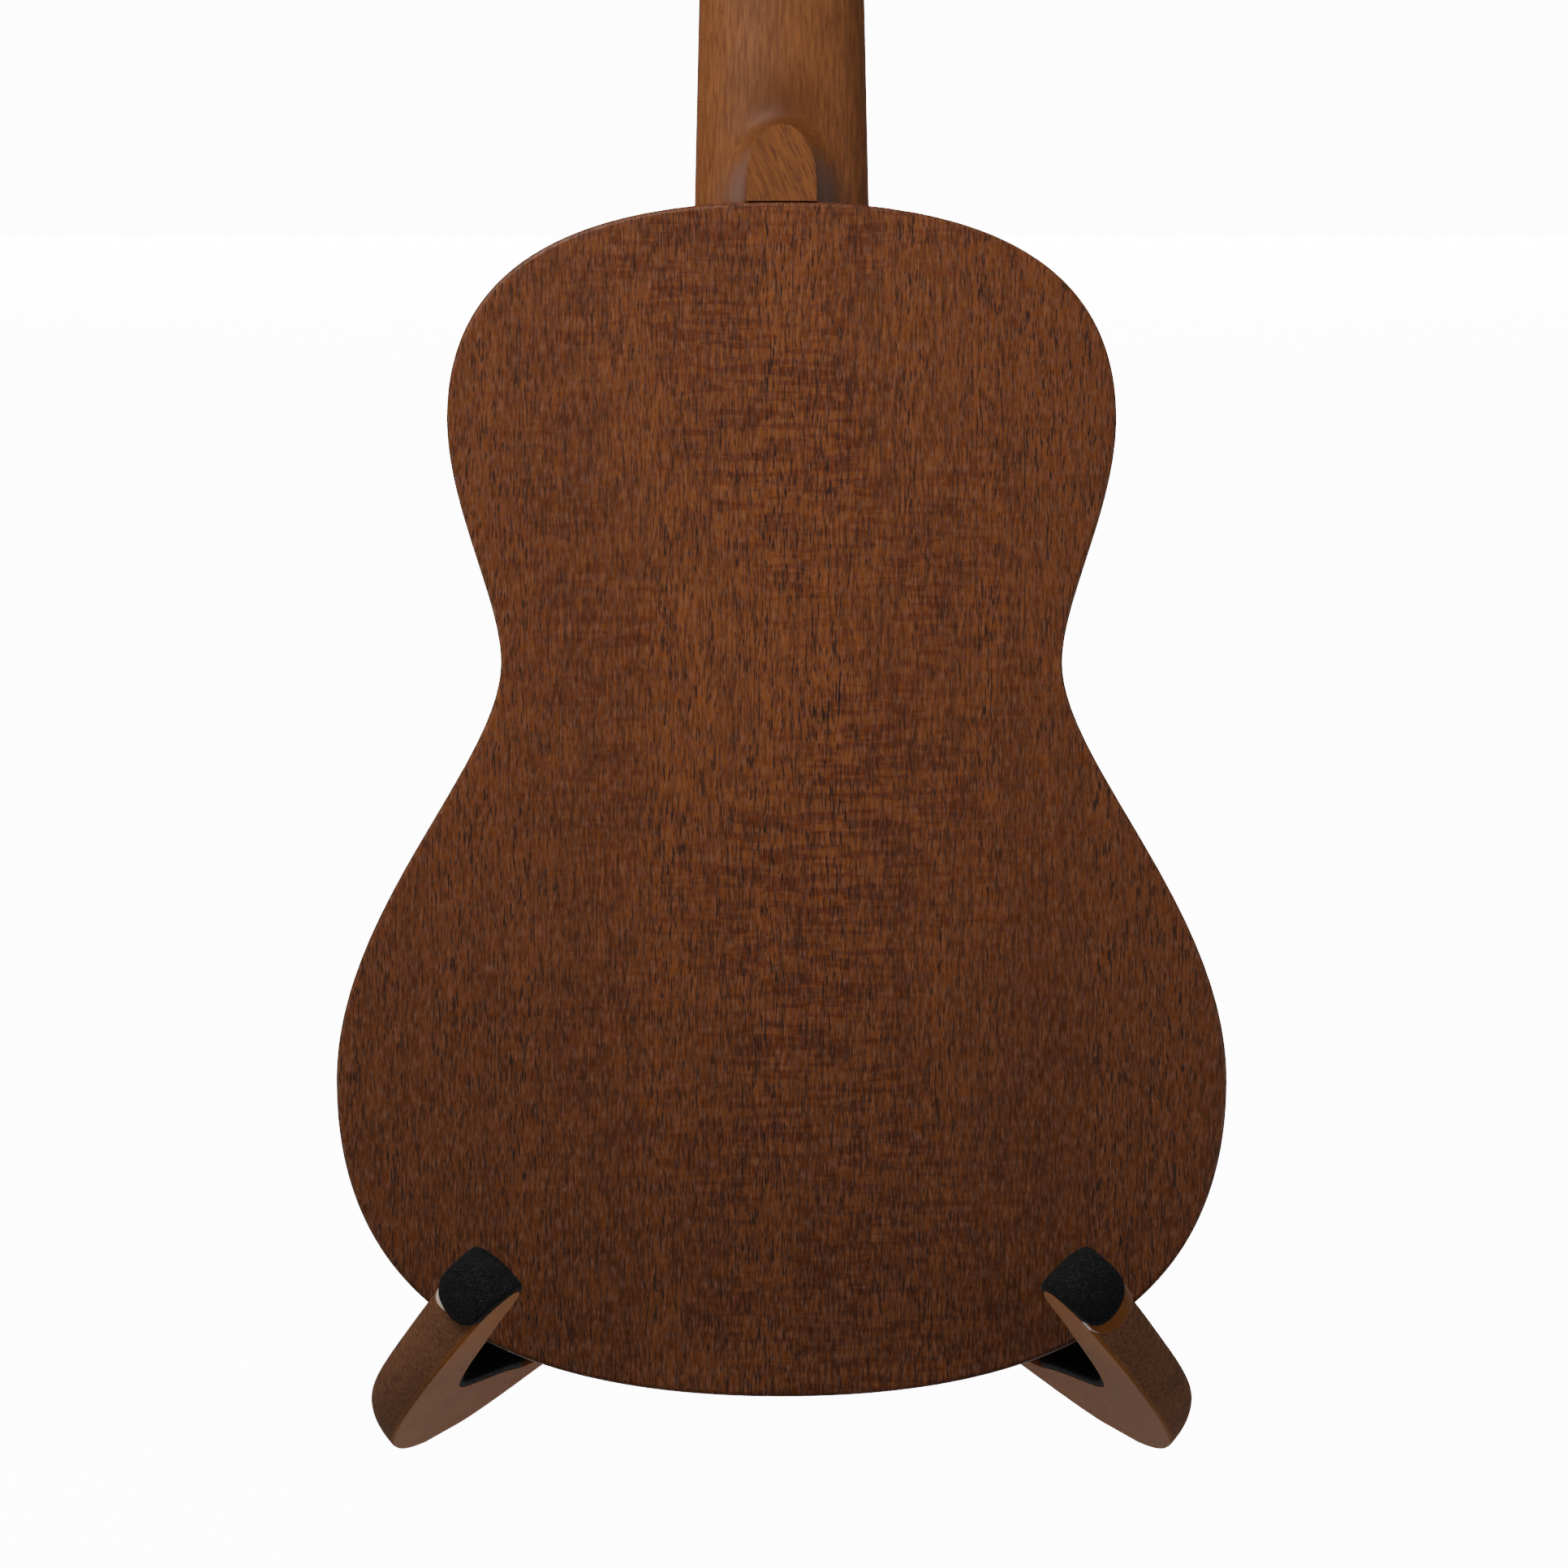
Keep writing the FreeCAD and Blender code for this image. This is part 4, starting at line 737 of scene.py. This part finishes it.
# Foam pads.
# Black closed-cell foam strip glued round the edge of each crook and of each backrest prong,
# its cut ends rounded and its margins pressed thin.
foam = bpy.data.materials.new("pad_foam")
foam_tree, foam_shader = graph(foam)
foam_place = add(foam_tree, "ShaderNodeTexCoord").outputs["Object"]
CELLS, SPECKS, CELL_HEIGHT = (2600, 2600, 2600), (3400, 3400, 3400), 0.0004
foam_grain = streaks(foam_tree, foam_place, CELLS, 2)
foam_speck = ramp(foam_tree, streaks(foam_tree, foam_place, SPECKS, 1), 0.60, 0.72)
foam_tone = ramp(foam_tree, foam_grain, 0.35, 0.65, grey(0.002), grey(0.009))
foam_tree.links.new(blend(foam_tree, foam_speck, foam_tone, grey(0.040)),
                    foam_shader.inputs["Base Color"])
foam_bump = add(foam_tree, "ShaderNodeBump", inputs={"Height": foam_grain, "Strength": 0.5,
                                                     "Distance": CELL_HEIGHT})
foam_tree.links.new(foam_bump.outputs[0], foam_shader.inputs["Normal"])
foam_shader.inputs["Roughness"].default_value = 0.9
foam_shader.inputs["Specular IOR Level"].default_value = 0.12
FOAM_CLEAR, ROUND_ROWS, ROW_STEP, RAGGED_SCALE = 0.00004, 9, 0.0007, 0.0016


def edge_strip(name, side, body, material, first, last, thick, low, high, ahead=0.0, reach=None,
               ragged=0.0, columns=28):
    """A strip laid round the board's edge from one outline point to another, with round ends."""
    place, count = board_place(side), len(board_line)
    picks = [k % count for k in range(first * SPAN - SPAN, (last + 1) * SPAN + 1)]
    points, normals, room = board_line[picks], board_normals[picks], board_room[picks]
    travel = numpy.concatenate([[0], numpy.cumsum(numpy.linalg.norm(numpy.diff(points, axis=0),
                                                                    axis=1))])
    start = travel[SPAN] - ahead
    end = travel[-SPAN - 1] if reach is None else start + reach
    half_width = (high - low) / 2 * BOARD
    turn = [half_width * (1 - math.cos(math.pi / 2 * k / ROUND_ROWS))
            for k in range(ROUND_ROWS + 1)]
    steps = int((end - start - 2 * half_width) / ROW_STEP)
    straight = numpy.linspace(half_width, end - start - half_width, steps)[1:-1]
    rows = turn + list(straight) + [end - start - d for d in reversed(turn)]
    shell, rings = bmesh.new(), []
    for d in rows:
        here = [numpy.interp(start + d, travel, points[:, k]) for k in (0, 1)]
        out = numpy.array([numpy.interp(start + d, travel, normals[:, k]) for k in (0, 1)])
        out /= numpy.linalg.norm(out)
        give = numpy.interp(start + d, travel, room)
        near = min(d, end - start - d, half_width) / half_width
        narrow = max(0.04, math.sqrt(1 - (1 - near) ** 2))
        faces = ([], [])
        wander = ragged * noise.noise(Vector((d / RAGGED_SCALE, side, 0.3)))
        for k in range(columns + 1):
            across = 2 * k / columns - 1
            share = (low + high) / 2 + (high - low) / 2 * across * narrow
            share += wander * max(0, across)
            inset, height, lean = edge_profile(share)
            swell = thick * math.sqrt(max(0, 1 - abs(across) ** 12)) * narrow ** 0.25
            for face, off in zip(faces, (FOAM_CLEAR, FOAM_CLEAR + swell)):
                spot = here + out * (off * math.cos(lean) - inset * give)
                face.append(place @ Vector((*spot, height + off * math.sin(lean))))
        under, over = faces
        rings.append([shell.verts.new(v) for v in under[::-1] + over[1:-1]])
    size = len(rings[0])
    for one, two in zip(rings, rings[1:]):
        for k in range(size):
            shell.faces.new((one[k], one[(k + 1) % size], two[(k + 1) % size], two[k]))
    shell.faces.new(rings[0])
    shell.faces.new(rings[-1])
    bmesh.ops.recalc_face_normals(shell, faces=shell.faces)
    for face in shell.faces:
        face.smooth = True
    mesh = bpy.data.meshes.new(name)
    shell.to_mesh(mesh)
    return new_piece(name, mesh, material, body)


CROOK_START, CROOK_END, PRONG_START, PRONG_END = 43, 55, 16, 18
CROOK_FOAM, PRONG_FOAM, FOAM_LOW, FOAM_HIGH = 0.0017, 0.0028, 0.008, 0.90
for side, hand in ((1, "right"), (-1, "left")):
    crook = edge_strip(f"crook_foam_{hand}", side, f"stand_{hand}", foam, CROOK_START, CROOK_END,
                       CROOK_FOAM, FOAM_LOW, FOAM_HIGH)
    prong = edge_strip(f"prong_foam_{hand}", side, f"stand_{hand}", foam, PRONG_START, PRONG_END,
                       PRONG_FOAM, FOAM_LOW, FOAM_HIGH)
    for piece, node in ((crook, f"cradle_pad_{hand}"), (prong, f"backrest_pad_{hand}")):
        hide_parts(node)

# Glue and chip at the crook pads' ends.
# Contact glue was squeezed out from under the right pad and dried amber. Beside the left pad's
# end the lacquer is chipped to bare wood.
glue = polished("dried_glue", (0.16, 0.048, 0.003), 0.12)
graph(glue)[1].inputs["Specular IOR Level"].default_value = 0.3
bare = polished("bare_chip", (0.55, 0.42, 0.32), 0.7)
GLUE_THICK, CHIP_THICK = 0.0008, 0.00016
right_glue = edge_strip("glue_line_right", 1, "stand_right", glue, CROOK_START, CROOK_END,
                        GLUE_THICK, 0.0, 1.12, ahead=0.0052, reach=0.019, ragged=0.07)
left_chip = edge_strip("chip_line_left", -1, "stand_left", bare, CROOK_START, CROOK_END,
                       CHIP_THICK, 0.32, 1.06, ahead=0.0028, reach=0.017, ragged=0.06)
